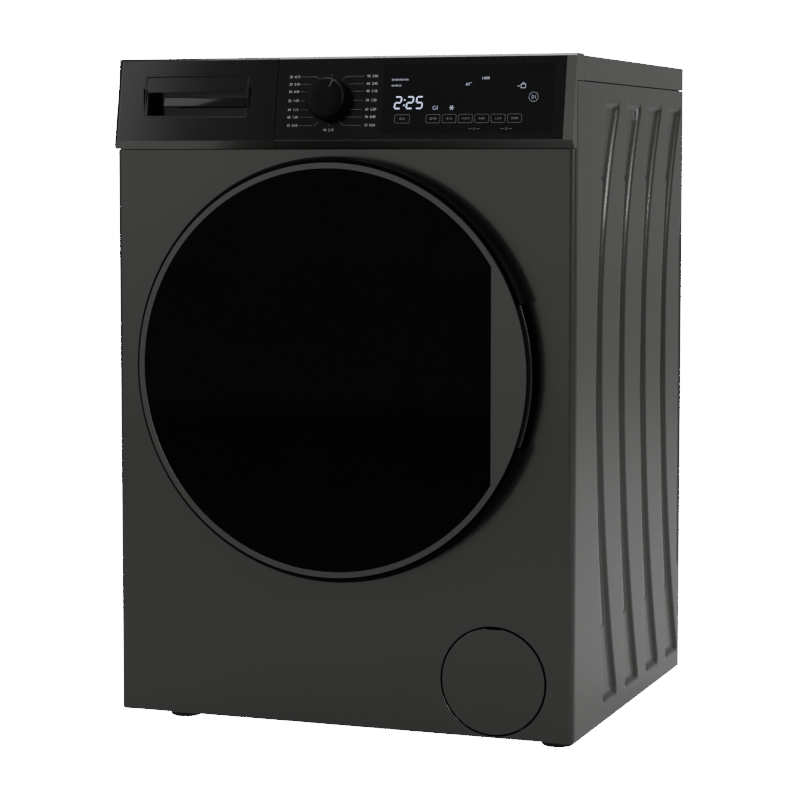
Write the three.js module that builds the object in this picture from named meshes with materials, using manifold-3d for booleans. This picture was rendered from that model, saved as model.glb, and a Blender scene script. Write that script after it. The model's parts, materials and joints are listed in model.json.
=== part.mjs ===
// Front load washing machine, 60 cm class, as an assembly of separate pieces.
// Millimetres, +Z up, +X to the viewer's right, front towards -Y.
// The origin is on the floor, at the middle of the whole machine's box.
import * as THREE from "three";
import { mergeVertices } from "three/addons/utils/BufferGeometryUtils.js";
import Module from "manifold-3d";

const wasm = await Module();
wasm.setup();

// ---- Driving dimensions ----
const WIDTH = 597; // over the side panels
const HEIGHT = 845; // floor to the top of the control panel
const FRONT = -245; // Y of the flat front panel
const BACK = 275; // Y of the cabinet's rear edge
const FLOOR_GAP = 22; // floor to the underside of the cabinet
const SHEET = 1.2; // cabinet steel
const GAP = 0.3; // clearance left between neighbouring pieces
const HALF = WIDTH / 2;

const EDGE_WIDTH = 10; // rounded vertical edge of the front panel
const EDGE_DEPTH = 7.4;
const PANEL_TOP = 732.3;
const PANEL_BOTTOM = 24;
const SIDE_TOP = 812.7;
const WORKTOP_BOTTOM = 813.2;
const WORKTOP_TOP = 843.5;
const WORKTOP_START = 36.5; // behind the front plane

const AXIS_Z = 465; // height of the drum, tub and door axis
const PORTHOLE_R = 186;
const DOOR_R = 252;
const DOOR_BULGE_R = 258.6;
const DOOR_DEPTH = 37;
const GLASS_R = 243.7;
const GLASS_CUT_X = 209.7; // flat right edge of the dark glass
const GLASS_CORNER_R = 20;
const HINGE_X = -240;
const HINGE_OUT = 22; // hinge axis in front of the front plane

const DRAWER_SEAM_X = -80;
const FASCIA_BOTTOM = 733;
const FACE_BOTTOM = 743; // top of the satin strip, bottom of the black face
const FACE_TOP = 842;
const FACE_LEAN = 18; // how far the face leans back over its height
const FACE_END_X = 286.3;
const WINDOW_X0 = 57; // display window
const WINDOW_X1 = 272;
const WINDOW_Z0 = 752;
const WINDOW_Z1 = 832;

const KNOB_X = -9;
const KNOB_Z = 791;
const KNOB_R = 26;
const KNOB_HEIGHT = 21;

const FILTER_X = 199;
const FILTER_Z = 93;
const FILTER_R = 65.5;
const FLAP_PEG_Z = FILTER_Z - FILTER_R + 9.5; // hinge peg of the filter cover
const FLAP_PEG_DEPTH = 3;
const FLAP_PEG_X = 37; // middle of each ear, from the cover's middle

const TUB_R = 258;
const TUB_WALL = 5;
const HEATER_X = 21.6; // half the distance between the heater's rods
const HEATER_DROP = 247; // below the drum axis
const DRUM_R = 243;
const DRUM_SHEET = 1.5;
const SHAFT_R = 15;
const PULLEY_R = 140;
const MOTOR_X = -70;
const MOTOR_Z = 128;
const MOTOR_PULLEY_R = 11;

const DAMPER_X = 200;
const SPRING_X = 235;
const SUSPENSION_Y = 55;
const FOOT_X = 252;
const FOOT_FRONT_Y = -149;
const FOOT_REAR_Y = 215;
const FEET = [
  ["foot_front_left", -FOOT_X, FOOT_FRONT_Y],
  ["foot_front_right", FOOT_X, FOOT_FRONT_Y],
  ["foot_rear_left", -FOOT_X, FOOT_REAR_Y],
  ["foot_rear_right", FOOT_X, FOOT_REAR_Y],
];

// Depth behind (+) or in front (-) of the flat front panel, as a Y coordinate.
const depth = (d) => FRONT + d;

// ---- Solids ----
// A closed geometry as a manifold solid, for cutting and joining.
function solid(geometry) {
  const bare = geometry.index ? geometry.toNonIndexed() : geometry.clone();
  bare.deleteAttribute("normal");
  bare.deleteAttribute("uv");
  const merged = mergeVertices(bare, 1e-3);
  const triVerts = new Uint32Array(merged.index.array);
  const vertProperties = new Float32Array(merged.attributes.position.array);
  const made = new wasm.Manifold(new wasm.Mesh({ numProp: 3, vertProperties, triVerts }));
  if (made.volume() > 0) return made;
  for (let i = 0; i < triVerts.length; i += 3) {
    [triVerts[i + 1], triVerts[i + 2]] = [triVerts[i + 2], triVerts[i + 1]];
  }
  return new wasm.Manifold(new wasm.Mesh({ numProp: 3, vertProperties, triVerts }));
}

// A manifold solid back as a three.js geometry.
function geometryOf(made) {
  const mesh = made.getMesh();
  const geometry = new THREE.BufferGeometry();
  geometry.setAttribute("position", new THREE.BufferAttribute(mesh.vertProperties, 3));
  geometry.setIndex(new THREE.BufferAttribute(mesh.triVerts, 1));
  const flat = geometry.toNonIndexed();
  flat.computeVertexNormals();
  return flat;
}

const join = (first, ...rest) => rest.reduce((sum, next) => sum.add(next), first);
const cut = (body, ...tools) => tools.reduce((left, tool) => left.subtract(tool), body);

function block(x0, x1, y0, y1, z0, z1) {
  const box = new THREE.BoxGeometry(x1 - x0, y1 - y0, z1 - z0);
  return solid(box.translate((x0 + x1) / 2, (y0 + y1) / 2, (z0 + z1) / 2));
}

const toShape = (points) => new THREE.Shape(points.map(([u, v]) => new THREE.Vector2(u, v)));

function extrude(shape, length, curveSegments = 8) {
  return new THREE.ExtrudeGeometry(shape, { depth: length, bevelEnabled: false, curveSegments });
}

// Plan outline (X, Y) raised from z0 to z1.
function prismZ(shape, z0, z1, curveSegments) {
  return solid(extrude(shape, z1 - z0, curveSegments).translate(0, 0, z0));
}

// Front outline (X, Z) run from y0 to y1.
function prismY(shape, y0, y1, curveSegments) {
  const body = extrude(shape, y1 - y0, curveSegments).rotateX(Math.PI / 2);
  return solid(body.translate(0, y1, 0));
}

// Side outline (Y, Z) run from x0 to x1.
function prismX(shape, x0, x1, curveSegments) {
  const turn = new THREE.Matrix4().makeBasis(
    new THREE.Vector3(0, 1, 0),
    new THREE.Vector3(0, 0, 1),
    new THREE.Vector3(1, 0, 0),
  );
  const body = extrude(shape, x1 - x0, curveSegments).applyMatrix4(turn);
  return solid(body.translate(x0, 0, 0));
}

// A closed (radius, Y) outline turned about the Y axis through (cx, cz).
function turnY(outline, cx, cz, segments = 36) {
  const points = outline.map(([r, y]) => new THREE.Vector2(r, y));
  return solid(new THREE.LatheGeometry(points, segments).translate(cx, 0, cz));
}

// A closed (radius, Z) outline turned about the vertical axis through (cx, cy).
function turnZ(outline, cx, cy, segments = 20) {
  const points = outline.map(([r, z]) => new THREE.Vector2(r, z));
  const body = new THREE.LatheGeometry(points, segments).rotateX(Math.PI / 2);
  return solid(body.translate(cx, cy, 0));
}

const ring = (r0, r1, a0, a1) => [[r0, a0], [r1, a0], [r1, a1], [r0, a1], [r0, a0]];
const disc = (r, a0, a1) => [[0, a0], [r, a0], [r, a1], [0, a1]];

function mirrorX(made) {
  return made.mirror([1, 0, 0]);
}

// ---- Scene ----
const machine = new THREE.Group();

const FINISH = {
  silver: { color: 0x4a4a48, roughness: 0.38, metalness: 0.75 },
  black_gloss: { color: 0x08090a, roughness: 0.08, metalness: 0.0 },
  black_matte: { color: 0x141414, roughness: 0.55, metalness: 0.0 },
  steel: { color: 0x9a9c9e, roughness: 0.35, metalness: 0.9 },
  zinc: { color: 0x8b8f92, roughness: 0.45, metalness: 0.8 },
  rubber: { color: 0x55565a, roughness: 0.8, metalness: 0.0 },
  glass: { color: 0x30383c, roughness: 0.05, metalness: 0.0 },
  tub_plastic: { color: 0xb9bbb8, roughness: 0.5, metalness: 0.0 },
  white_plastic: { color: 0xdfe0de, roughness: 0.4, metalness: 0.0 },
  concrete: { color: 0x8e8c86, roughness: 0.9, metalness: 0.0 },
};

function add(name, made, finish) {
  const mesh = new THREE.Mesh(geometryOf(made), new THREE.MeshStandardMaterial(FINISH[finish]));
  mesh.name = name;
  machine.add(mesh);
}

// ---- Cabinet ----
function sidePanel() {
  const front = depth(EDGE_DEPTH + GAP);
  const section = toShape([
    [HALF, front],
    [HALF, BACK],
    [282, BACK],
    [282, BACK - SHEET],
    [HALF - SHEET, BACK - SHEET],
    [HALF - SHEET, front + SHEET],
    [286, front + SHEET],
    [286, front],
  ]);
  return join(prismZ(section, FLOOR_GAP, SIDE_TOP), springBracket());
}

function frontPanel() {
  const flatX = HALF - EDGE_WIDTH;
  const edgeY = depth(EDGE_DEPTH);
  const shape = new THREE.Shape();
  shape.moveTo(-flatX, FRONT);
  shape.lineTo(flatX, FRONT);
  shape.quadraticCurveTo(HALF, FRONT, HALF, edgeY);
  shape.lineTo(HALF - SHEET, edgeY);
  shape.quadraticCurveTo(HALF - SHEET, FRONT + SHEET, flatX, FRONT + SHEET);
  shape.lineTo(-flatX, FRONT + SHEET);
  shape.quadraticCurveTo(-HALF + SHEET, FRONT + SHEET, -HALF + SHEET, edgeY);
  shape.lineTo(-HALF, edgeY);
  shape.quadraticCurveTo(-HALF, FRONT, -flatX, FRONT);
  const sheet = prismZ(shape, PANEL_BOTTOM, PANEL_TOP, 4);
  const porthole = turnY(disc(PORTHOLE_R, depth(-5), depth(5)), 0, AXIS_Z, 64);
  const filterHole = turnY(disc(FILTER_R + 1.5, depth(-5), depth(5)), FILTER_X, FILTER_Z);
  const lockSlot = block(199, 226, depth(-5), depth(5), 444, 486);
  return cut(sheet, porthole, filterHole, lockSlot);
}

function rearPanel() {
  const sheet = block(-296.8, 296.8, BACK - 2 * SHEET - GAP, BACK - SHEET - GAP, 24, 812.4);
  const service = block(-140, 140, BACK - 10, BACK + 5, 190, 650);
  const round = (x, z, r) => turnY(disc(r, BACK - 10, BACK + 5), x, z, 24);
  return cut(sheet, service, round(-230, 772, 15), round(230, 700, 11), round(-232, 690, 13));
}

// Pressed cover over the belt, screwed to the rear panel.
function rearCover() {
  const outer = block(-165, 165, BACK - SHEET, BACK + 7, 165, 675);
  return cut(outer, block(-163, 163, BACK - 10, BACK + 5.5, 167, 673));
}

function baseFrame() {
  const outer = block(-283, 283, depth(12), 268, 24, 50);
  const inner = block(-258, 258, depth(37), 243, 20, 60);
  let frame = cut(outer, inner);
  for (const side of [-1, 1]) {
    const rail = [side * 186, side * 214].sort((a, b) => a - b);
    frame = join(frame, block(rail[0], rail[1], depth(30), 250, 24, 32));
    const plate = [side * 225, side * 270].sort((a, b) => a - b);
    frame = join(frame, block(plate[0], plate[1], depth(30), depth(130), 24, 32));
    frame = join(frame, block(plate[0], plate[1], 180, 250, 24, 32));
  }
  const studs = FEET.map(([, x, y]) => turnZ(disc(5.6, 15, 60), x, y, 16));
  const filterRoom = turnY(disc(FILTER_R + 5, depth(0), depth(42)), FILTER_X, FILTER_Z);
  return cut(frame, filterRoom, ...studs);
}

// Screw-in levelling foot: pad, hexagon and stud in one.
function foot(x, y) {
  const outline = [[0, 0], [20, 0], [20, 7], [11, 10], [11, 21], [5, 21], [5, 58], [0, 58]];
  return turnZ(outline, x, y, 16);
}

function worktop() {
  const outer = block(-HALF, HALF, depth(WORKTOP_START), BACK, WORKTOP_BOTTOM, WORKTOP_TOP);
  const inner = block(-HALF + 2.5, HALF - 2.5, depth(WORKTOP_START + 2.5), BACK - 2.5, 800, 841);
  return cut(outer, inner);
}

// Hook for a suspension spring, welded to the top of a side panel.
function springBracket() {
  const arm = block(SPRING_X - 12, HALF - 1, SUSPENSION_Y - 14, SUSPENSION_Y + 14, 786, 792);
  const flange = block(292, HALF - 1, SUSPENSION_Y - 14, SUSPENSION_Y + 14, 760, 792);
  const peg = turnZ(disc(5, 772, 788), SPRING_X, SUSPENSION_Y, 12);
  return join(arm, flange, peg);
}

// ---- Control panel ----
// Y offset from the front plane of the leaning black face at height z.
const faceAt = (z) => -12 + (FACE_LEAN * (z - FACE_BOTTOM)) / (FACE_TOP - FACE_BOTTOM);

// The control panel's front outline, from its lower lip to its top edge.
const fasciaFront = () => [
  [depth(-3), FASCIA_BOTTOM],
  [depth(faceAt(FACE_BOTTOM)), FACE_BOTTOM],
  [depth(faceAt(FACE_TOP)), FACE_TOP],
  [depth(faceAt(FACE_TOP) + 4), HEIGHT],
];

function controlFascia() {
  const lower = 812.9;
  const outline = [
    ...fasciaFront(),
    [depth(36.2), HEIGHT],
    [depth(36.2), lower],
    [depth(EDGE_DEPTH), lower],
    [depth(EDGE_DEPTH), FASCIA_BOTTOM],
  ];
  const right = prismX(toShape(outline), DRAWER_SEAM_X + GAP, HALF);
  const hollow = prismX(
    toShape([
      [depth(0), FASCIA_BOTTOM + 2],
      [depth(-8), FACE_BOTTOM + 3],
      [depth(8.5), 838],
      [depth(8.5), 842],
      [depth(40), 842],
      [depth(40), FASCIA_BOTTOM + 2],
    ]),
    DRAWER_SEAM_X + 4,
    HALF - 3,
  );
  const beamOutline = [
    [depth(7.9), lower],
    [depth(11), HEIGHT],
    [depth(36.2), HEIGHT],
    [depth(36.2), lower],
  ];
  const beam = prismX(toShape(beamOutline), -HALF, DRAWER_SEAM_X + 4);
  const plate = block(-297, DRAWER_SEAM_X + 4, depth(9.2), depth(12.2), FASCIA_BOTTOM, lower + 1);
  const mouth = block(-286, -92, depth(0), depth(20), 750, 809);
  const seat = prismX(toShape(faceSection(3, 2.3)), DRAWER_SEAM_X - 1, FACE_END_X + GAP);
  const shaftHole = alongFace(disc(5, -20, 20), KNOB_X, KNOB_Z, 16);
  return cut(join(cut(right, hollow), beam, cut(plate, mouth)), seat, shaftHole);
}

// Section of a slab lying on the leaning face: proud in front of it, sunk behind it.
function faceSection(proud, sunk) {
  const lean = Math.atan2(FACE_LEAN, FACE_TOP - FACE_BOTTOM);
  const outward = [-Math.cos(lean), Math.sin(lean)];
  const corner = (z, out) => [depth(faceAt(z)) + outward[0] * out, z + outward[1] * out];
  const low = FACE_BOTTOM + 0.3;
  const high = FACE_TOP - 0.3;
  return [corner(low, proud), corner(high, proud), corner(high, -sunk), corner(low, -sunk)];
}

// A (radius, height) outline turned about the line that stands square on the leaning face.
function alongFace(outline, x, z, segments) {
  const lean = Math.atan2(FACE_LEAN, FACE_TOP - FACE_BOTTOM);
  const points = outline.map(([r, h]) => new THREE.Vector2(r, h));
  const body = new THREE.LatheGeometry(points, segments).rotateX(Math.PI - lean);
  return solid(body.translate(x, depth(faceAt(z)), z));
}

function fasciaFace() {
  const slab = prismX(toShape(faceSection(0, 2)), DRAWER_SEAM_X + 0.6, FACE_END_X);
  const windowSeat = prismX(toShape(faceSection(1, 1.1)), WINDOW_X0 - GAP, WINDOW_X1 + GAP);
  const zone = block(WINDOW_X0 - 1, WINDOW_X1 + 1, -400, 0, WINDOW_Z0 - GAP, WINDOW_Z1 + GAP);
  const shaftHole = alongFace(disc(5, -20, 20), KNOB_X, KNOB_Z, 16);
  return cut(slab, windowSeat.intersect(zone), shaftHole);
}

function displayWindow() {
  const slab = prismX(toShape(faceSection(-0.05, 0.8)), WINDOW_X0, WINDOW_X1);
  return slab.intersect(block(WINDOW_X0, WINDOW_X1, -400, 0, WINDOW_Z0, WINDOW_Z1));
}

function controlBoard() {
  const tray = block(30, 282, depth(13), depth(32), 752, 806);
  return cut(tray, block(33, 279, depth(10), depth(29), 755, 803));
}

function selectorSwitch() {
  const body = alongFace(disc(15, -17, -5.6), KNOB_X, KNOB_Z, 16);
  return cut(body, alongFace(disc(3.4, -14, 0), KNOB_X, KNOB_Z, 16));
}

function programKnob() {
  const outline = [
    [0, -10],
    [3, -10],
    [3, 0.6],
    [KNOB_R, 0.6],
    [KNOB_R, 6],
    [KNOB_R - 1, KNOB_HEIGHT - 3],
    [KNOB_R - 4, KNOB_HEIGHT],
    [0, KNOB_HEIGHT],
  ];
  return alongFace(outline, KNOB_X, KNOB_Z, 32);
}

// ---- Detergent drawer ----
function drawerFront() {
  const rear = depth(EDGE_DEPTH);
  const outline = [...fasciaFront(), [depth(10.6), HEIGHT], [rear, 812.6], [rear, FASCIA_BOTTOM]];
  const shell = prismX(toShape(outline), -HALF, DRAWER_SEAM_X - GAP);
  const hollow = prismX(
    toShape([
      [depth(0), FASCIA_BOTTOM + 2.5],
      [depth(-8.5), FACE_BOTTOM + 3],
      [depth(4), 812],
      [depth(10), 812],
      [depth(10), FASCIA_BOTTOM + 2.5],
    ]),
    -HALF + 3,
    DRAWER_SEAM_X - 3,
  );
  const cup = block(-258, -116, depth(-6), depth(23.5), 771, 807);
  const pocket = block(-254, -120, depth(-20), depth(21), 774, 803);
  return cut(join(cut(shell, hollow), cup), pocket);
}

function drawerTray() {
  const tray = block(-281, -97, depth(24), depth(240), 753, 803);
  const wall = 2;
  const bay = (x0, x1, y0, y1) => block(x0 + wall, x1 - wall, y0 + wall, y1 - wall, 753 + wall, 820);
  return cut(
    tray,
    bay(-281, -216, depth(24), depth(240)),
    bay(-218, -158, depth(24), depth(240)),
    bay(-160, -97, depth(24), depth(240)),
  );
}

// Lid of the softener bay, with its siphon tube.
function siphonCap() {
  const lid = block(-215.5, -160.5, depth(150), depth(237), 798, 801);
  const tube = turnZ(disc(8, 757, 799), -188, depth(200), 16);
  return join(lid, tube);
}

function dispenserHousing() {
  const outer = block(-290, -88, depth(12.5), depth(262), 747, 812);
  const inner = block(-287.5, -90.5, depth(5), depth(259), 749.5, 809.5);
  const inlet = turnY(disc(8.6, depth(255), depth(270)), -230, 772, 20);
  return cut(outer, inner, inlet);
}

// ---- Door ----
function glassOutline(r, cutX, corner) {
  const shape = new THREE.Shape();
  // Corner arcs touch the flat edge and the big circle.
  const cx = cutX - corner;
  const cz = Math.sqrt((r - corner) ** 2 - cx ** 2);
  const onCircle = Math.atan2(cz, cx);
  shape.absarc(0, AXIS_Z, r, onCircle, 2 * Math.PI - onCircle, false);
  shape.absarc(cx, AXIS_Z - cz, corner, -onCircle, 0, false);
  shape.absarc(cx, AXIS_Z + cz, corner, 0, onCircle, false);
  return shape;
}

function doorPanel() {
  const shape = glassOutline(GLASS_R, GLASS_CUT_X, GLASS_CORNER_R);
  return prismY(shape, depth(-DOOR_DEPTH), depth(-DOOR_DEPTH + 4.6), 18);
}

function doorRim() {
  const body = turnY(disc(DOOR_R, depth(-DOOR_DEPTH), depth(-31)), 0, AXIS_Z, 56);
  const seat = glassOutline(GLASS_R + GAP, GLASS_CUT_X + GAP, GLASS_CORNER_R);
  return cut(body, prismY(seat, depth(-60), depth(-10), 18));
}

function doorBackFrame() {
  const outline = [
    [246, depth(-2)],
    [DOOR_BULGE_R, depth(-25)],
    [256.5, depth(-30.7)],
    [253, depth(-30.7)],
    [255, depth(-25)],
    [243.5, depth(-5)],
    [170, depth(-5)],
    [170, depth(-30.7)],
    [166.8, depth(-30.7)],
    [166.8, depth(-5)],
    [163, depth(-5)],
    [163, depth(-2)],
    [246, depth(-2)],
  ];
  const frame = turnY(outline, 0, AXIS_Z, 40);
  const hinge = block(-270, -196, depth(-29), depth(10), 400, 530);
  const fingers = block(221, 270, depth(-31), depth(-8), 373, 557);
  const hook = block(201, 220, depth(-10), depth(5), 444, 486);
  return cut(frame, hinge, fingers, hook);
}

function doorBowl() {
  const outline = [
    [0, depth(105)],
    [118, depth(105)],
    [126, depth(98)],
    [159.5, depth(-5)],
    [165.6, depth(-5.3)],
    [165.6, depth(-9.5)],
    [156, depth(-9.5)],
    [122.5, depth(95)],
    [116, depth(101)],
    [0, depth(101)],
  ];
  return turnY(outline, 0, AXIS_Z, 32);
}

// Knuckles on a plate in front of the cabinet, with arms that lean away from the door's edge.
function doorHinge() {
  const axisY = depth(-HINGE_OUT);
  const plate = block(-232, -198, depth(-1.7), depth(-GAP), 405, 525);
  const arm = toShape([
    [HINGE_X + 4, axisY - 3],
    [HINGE_X + 7, axisY + 2],
    [-222, depth(-1.6)],
    [-228, depth(-0.4)],
    [HINGE_X + 2, axisY + 6],
    [HINGE_X - 4, axisY + 3],
  ]);
  let hinge = plate;
  for (const low of [413, 497]) {
    hinge = join(hinge, prismZ(arm, low, low + 20), turnZ(disc(6, low, low + 20), HINGE_X, axisY, 16));
  }
  return cut(hinge, turnZ(disc(3.3, 400, 530), HINGE_X, axisY, 16));
}

function hingePin() {
  const outline = [[0, 408], [3, 408], [3, 521], [5, 521], [5, 524], [0, 524]];
  return turnZ(outline, HINGE_X, depth(-HINGE_OUT), 16);
}

// Leaf on the door, between the knuckles.
function hingeLeaf() {
  const axisY = depth(-HINGE_OUT);
  const barrel = turnZ(disc(6, 433.6, 496.4), HINGE_X, axisY, 16);
  const leaf = block(HINGE_X, -170.5, axisY - 5, axisY - 1, 433.6, 496.4);
  return cut(join(barrel, leaf), turnZ(disc(3.3, 400, 530), HINGE_X, axisY, 16));
}

// Pull lever behind the satin segment, and the latch hook that it turns.
function handleLever() {
  const shape = new THREE.Shape();
  shape.absarc(0, AXIS_Z, 254.6, -0.34, 0.34, false);
  shape.lineTo(222, AXIS_Z + 84);
  shape.lineTo(222, AXIS_Z - 84);
  return prismY(shape, depth(-26.8), depth(-23.8), 6);
}

function latchHook() {
  const outline = toShape([
    [206, depth(-21)],
    [216, depth(-21)],
    [216, depth(12)],
    [222, depth(12)],
    [219, depth(17)],
    [206, depth(17)],
  ]);
  return prismZ(outline, 455, 475);
}

function doorLock() {
  const body = block(187, 246, depth(1.6), depth(26), 430, 500);
  return cut(body, block(192, 227, depth(0), depth(22), 443, 487));
}

// ---- Tub, drum and drive ----
function doorGasket() {
  const outline = [
    [160.8, depth(1)],
    [163, depth(-1.2)],
    [185, depth(-1.2)],
    [185, depth(7.5)],
    [178, depth(10)],
    [178, depth(28)],
    [185, depth(36)],
    [176, depth(44)],
    [176, depth(64)],
    [172, depth(64)],
    [172, depth(42)],
    [179.5, depth(36)],
    [174, depth(29)],
    [174, depth(8)],
    [160.8, depth(1)],
  ];
  return turnY(outline, 0, AXIS_Z, 28);
}

function tubFront() {
  const outline = [
    [179, depth(52)],
    [182, depth(52)],
    [182, depth(66)],
    [TUB_R, depth(66)],
    [TUB_R, depth(221)],
    [TUB_R + 8, depth(222)],
    [TUB_R + 8, depth(229.7)],
    [TUB_R - TUB_WALL, depth(229.7)],
    [TUB_R - TUB_WALL, depth(71)],
    [179, depth(71)],
    [179, depth(52)],
  ];
  const heaterHoles = [-1, 1].map((side) =>
    turnY(disc(3.5, depth(60), depth(80)), side * HEATER_X, AXIS_Z - HEATER_DROP, 12),
  );
  return cut(turnY(outline, 0, AXIS_Z, 32), ...heaterHoles);
}


function tubRear() {
  const outline = [
    [30, depth(399)],
    [46, depth(399)],
    [46, depth(400)],
    [TUB_R - TUB_WALL, depth(400)],
    [TUB_R - TUB_WALL, depth(230)],
    [TUB_R + 8, depth(230)],
    [TUB_R + 8, depth(238)],
    [TUB_R, depth(239)],
    [TUB_R, depth(405)],
    [46, depth(405)],
    [46, depth(428)],
    [30, depth(428)],
    [30, depth(399)],
  ];
  const shell = turnY(outline, 0, AXIS_Z, 32);
  const y0 = SUSPENSION_Y - 14;
  const y1 = SUSPENSION_Y + 14;
  const springLug = block(SPRING_X - 15, SPRING_X + 15, y0, y1, 570, 600);
  const damperLug = block(DAMPER_X - 15, DAMPER_X + 15, y0, y1, 290, 312);
  const lugs = join(springLug, damperLug, mirrorX(springLug), mirrorX(damperLug));
  const room = turnY(disc(TUB_R - 1, depth(200), depth(402)), 0, AXIS_Z, 32);
  return join(shell, cut(lugs, room));
}

function waterHeater() {
  const z = AXIS_Z - HEATER_DROP;
  const plate = block(-32, 32, depth(58), depth(65.6), z - 7, z + 14);
  const rods = [-1, 1].map((side) => turnY(disc(2.8, depth(65), depth(300)), side * HEATER_X, z, 10));
  return join(plate, ...rods);
}

function counterweight() {
  const body = block(-75, 175, depth(120), depth(215), 640, 778);
  return cut(body, turnY(disc(TUB_R + 2, depth(100), depth(219)), 0, AXIS_Z, 32));
}

function bearing(near, far) {
  return turnY(ring(SHAFT_R + 0.6, 29.4, depth(near), depth(far)), 0, AXIS_Z, 20);
}

function driveMotor() {
  const outline = [
    [0, depth(290)],
    [62, depth(290)],
    [62, depth(424)],
    [6.5, depth(424)],
    [6.5, depth(418)],
    [56, depth(418)],
    [56, depth(296)],
    [0, depth(296)],
  ];
  return turnY(outline, MOTOR_X, MOTOR_Z, 20);
}

// Rotor, shaft and belt pulley, turning together.
function motorRotor() {
  const outline = [
    [0, depth(300)],
    [30, depth(300)],
    [30, depth(410)],
    [6, depth(410)],
    [6, depth(432)],
    [MOTOR_PULLEY_R, depth(432)],
    [MOTOR_PULLEY_R, depth(454)],
    [0, depth(454)],
  ];
  return turnY(outline, MOTOR_X, MOTOR_Z, 16);
}

// Open straight run of the belt between the two pulleys, as one flat closed band.
function driveBelt() {
  const band = (bigR, smallR) => {
    const dx = MOTOR_X;
    const dz = MOTOR_Z - AXIS_Z;
    const span = Math.hypot(dx, dz);
    const toward = Math.atan2(dz, dx);
    const spread = Math.acos((bigR - smallR) / span);
    const shape = new THREE.Shape();
    shape.absarc(0, AXIS_Z, bigR, toward + spread, toward - spread + 2 * Math.PI, false);
    shape.absarc(MOTOR_X, MOTOR_Z, smallR, toward - spread, toward + spread, false);
    return prismY(shape, depth(437), depth(449), 14);
  };
  return cut(
    band(PULLEY_R + 4.5, MOTOR_PULLEY_R + 3.5),
    stretchY(band(PULLEY_R + 0.5, MOTOR_PULLEY_R + 0.5)),
  );
}

// The same outline, longer along Y, so that it cuts right through.
function stretchY(made) {
  const middle = depth(443);
  return made.translate([0, -middle, 0]).scale([1, 2, 1]).translate([0, middle, 0]);
}

function drumShell() {
  const inside = DRUM_R - DRUM_SHEET;
  const outline = [
    [0, depth(382)],
    [inside, depth(382)],
    [inside, depth(80)],
    [172, depth(78)],
    [172, depth(76)],
    [DRUM_R, depth(78)],
    [DRUM_R, depth(384)],
    [0, depth(384)],
  ];
  return turnY(outline, 0, AXIS_Z, 36);
}

// Three-armed cast spider that carries the drum, with its shaft.
function drumSpider() {
  let spider = turnY(disc(40, depth(386.4), depth(396)), 0, AXIS_Z, 24);
  for (let arm = 0; arm < 3; arm += 1) {
    const bar = block(-16, 16, depth(386.4), depth(395), 0, 225);
    const angle = 60 + arm * 120;
    spider = join(spider, bar.rotate([0, angle, 0]).translate([0, 0, AXIS_Z]));
  }
  return join(spider, turnY(disc(SHAFT_R, depth(390), depth(456)), 0, AXIS_Z, 24));
}

function drumPulley() {
  const outline = [
    [SHAFT_R + 0.6, depth(434)],
    [26, depth(434)],
    [26, depth(440)],
    [130, depth(440)],
    [PULLEY_R, depth(436)],
    [PULLEY_R, depth(450)],
    [130, depth(446)],
    [SHAFT_R + 0.6, depth(446)],
    [SHAFT_R + 0.6, depth(434)],
  ];
  return turnY(outline, 0, AXIS_Z, 32);
}

// Paddle inside the drum, its base following the drum wall.
function drumLifter(angle) {
  const outline = new THREE.Shape();
  outline.moveTo(-34, -250);
  outline.lineTo(34, -250);
  outline.lineTo(30, -232);
  outline.quadraticCurveTo(11, -224, 9, -200);
  outline.quadraticCurveTo(0, -192, -9, -200);
  outline.quadraticCurveTo(-11, -224, -30, -232);
  const bar = prismY(outline, depth(118), depth(374), 4);
  const wall = turnY(disc(DRUM_R - DRUM_SHEET - 1.8, depth(100), depth(380)), 0, 0, 36);
  return bar.rotate([0, angle, 0]).intersect(wall).translate([0, 0, AXIS_Z]);
}

// ---- Suspension ----
function damperCylinder() {
  const outline = [[0, 32.3], [13, 32.3], [13, 190], [6.6, 190], [6.6, 60], [0, 60]];
  return turnZ(outline, DAMPER_X, SUSPENSION_Y, 16);
}

function damperRod() {
  return turnZ([[0, 100], [6, 100], [6, 289.7], [0, 289.7]], DAMPER_X, SUSPENSION_Y, 16);
}

// Coil spring between the bracket's peg and the tub's lug.
function suspensionSpring() {
  const turns = 6;
  const low = 603;
  const high = 769;
  const coilR = 11;
  const points = [];
  const steps = turns * 8;
  for (let i = 0; i <= steps; i += 1) {
    const t = i / steps;
    const angle = t * turns * 2 * Math.PI;
    points.push(
      new THREE.Vector3(
        SPRING_X + coilR * Math.cos(angle),
        SUSPENSION_Y + coilR * Math.sin(angle),
        low + (high - low) * t,
      ),
    );
  }
  const wire = new THREE.Shape().absarc(0, 0, 1.8, 0, 2 * Math.PI, false);
  const path = new THREE.CatmullRomCurve3(points);
  const options = { extrudePath: path, steps: steps, bevelEnabled: false, curveSegments: 2 };
  return solid(new THREE.ExtrudeGeometry(wire, options));
}

// ---- Water ----
function inletValve() {
  const body = block(-262, -206, 222, 262, 748, 796);
  const spout = turnY(disc(12.5, 260, 281), -230, 772, 20);
  const bore = turnY(disc(8, 240, 300), -230, 772, 20);
  return cut(join(body, spout), bore);
}

function drainOutlet() {
  const outline = [
    [8, 246],
    [11, 246],
    [11, 264],
    [15, 264],
    [15, 269.7],
    [11, 269.7],
    [11, 281],
    [8, 281],
    [8, 246],
  ];
  return turnY(outline, -232, 690, 16);
}

function mainsGland() {
  const outline = [
    [0, 262],
    [14, 262],
    [14, 269.7],
    [9.5, 269.7],
    [9.5, 281],
    [3.8, 281],
    [3.8, 268],
    [0, 268],
  ];
  return turnY(outline, 230, 700, 16);
}

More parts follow.
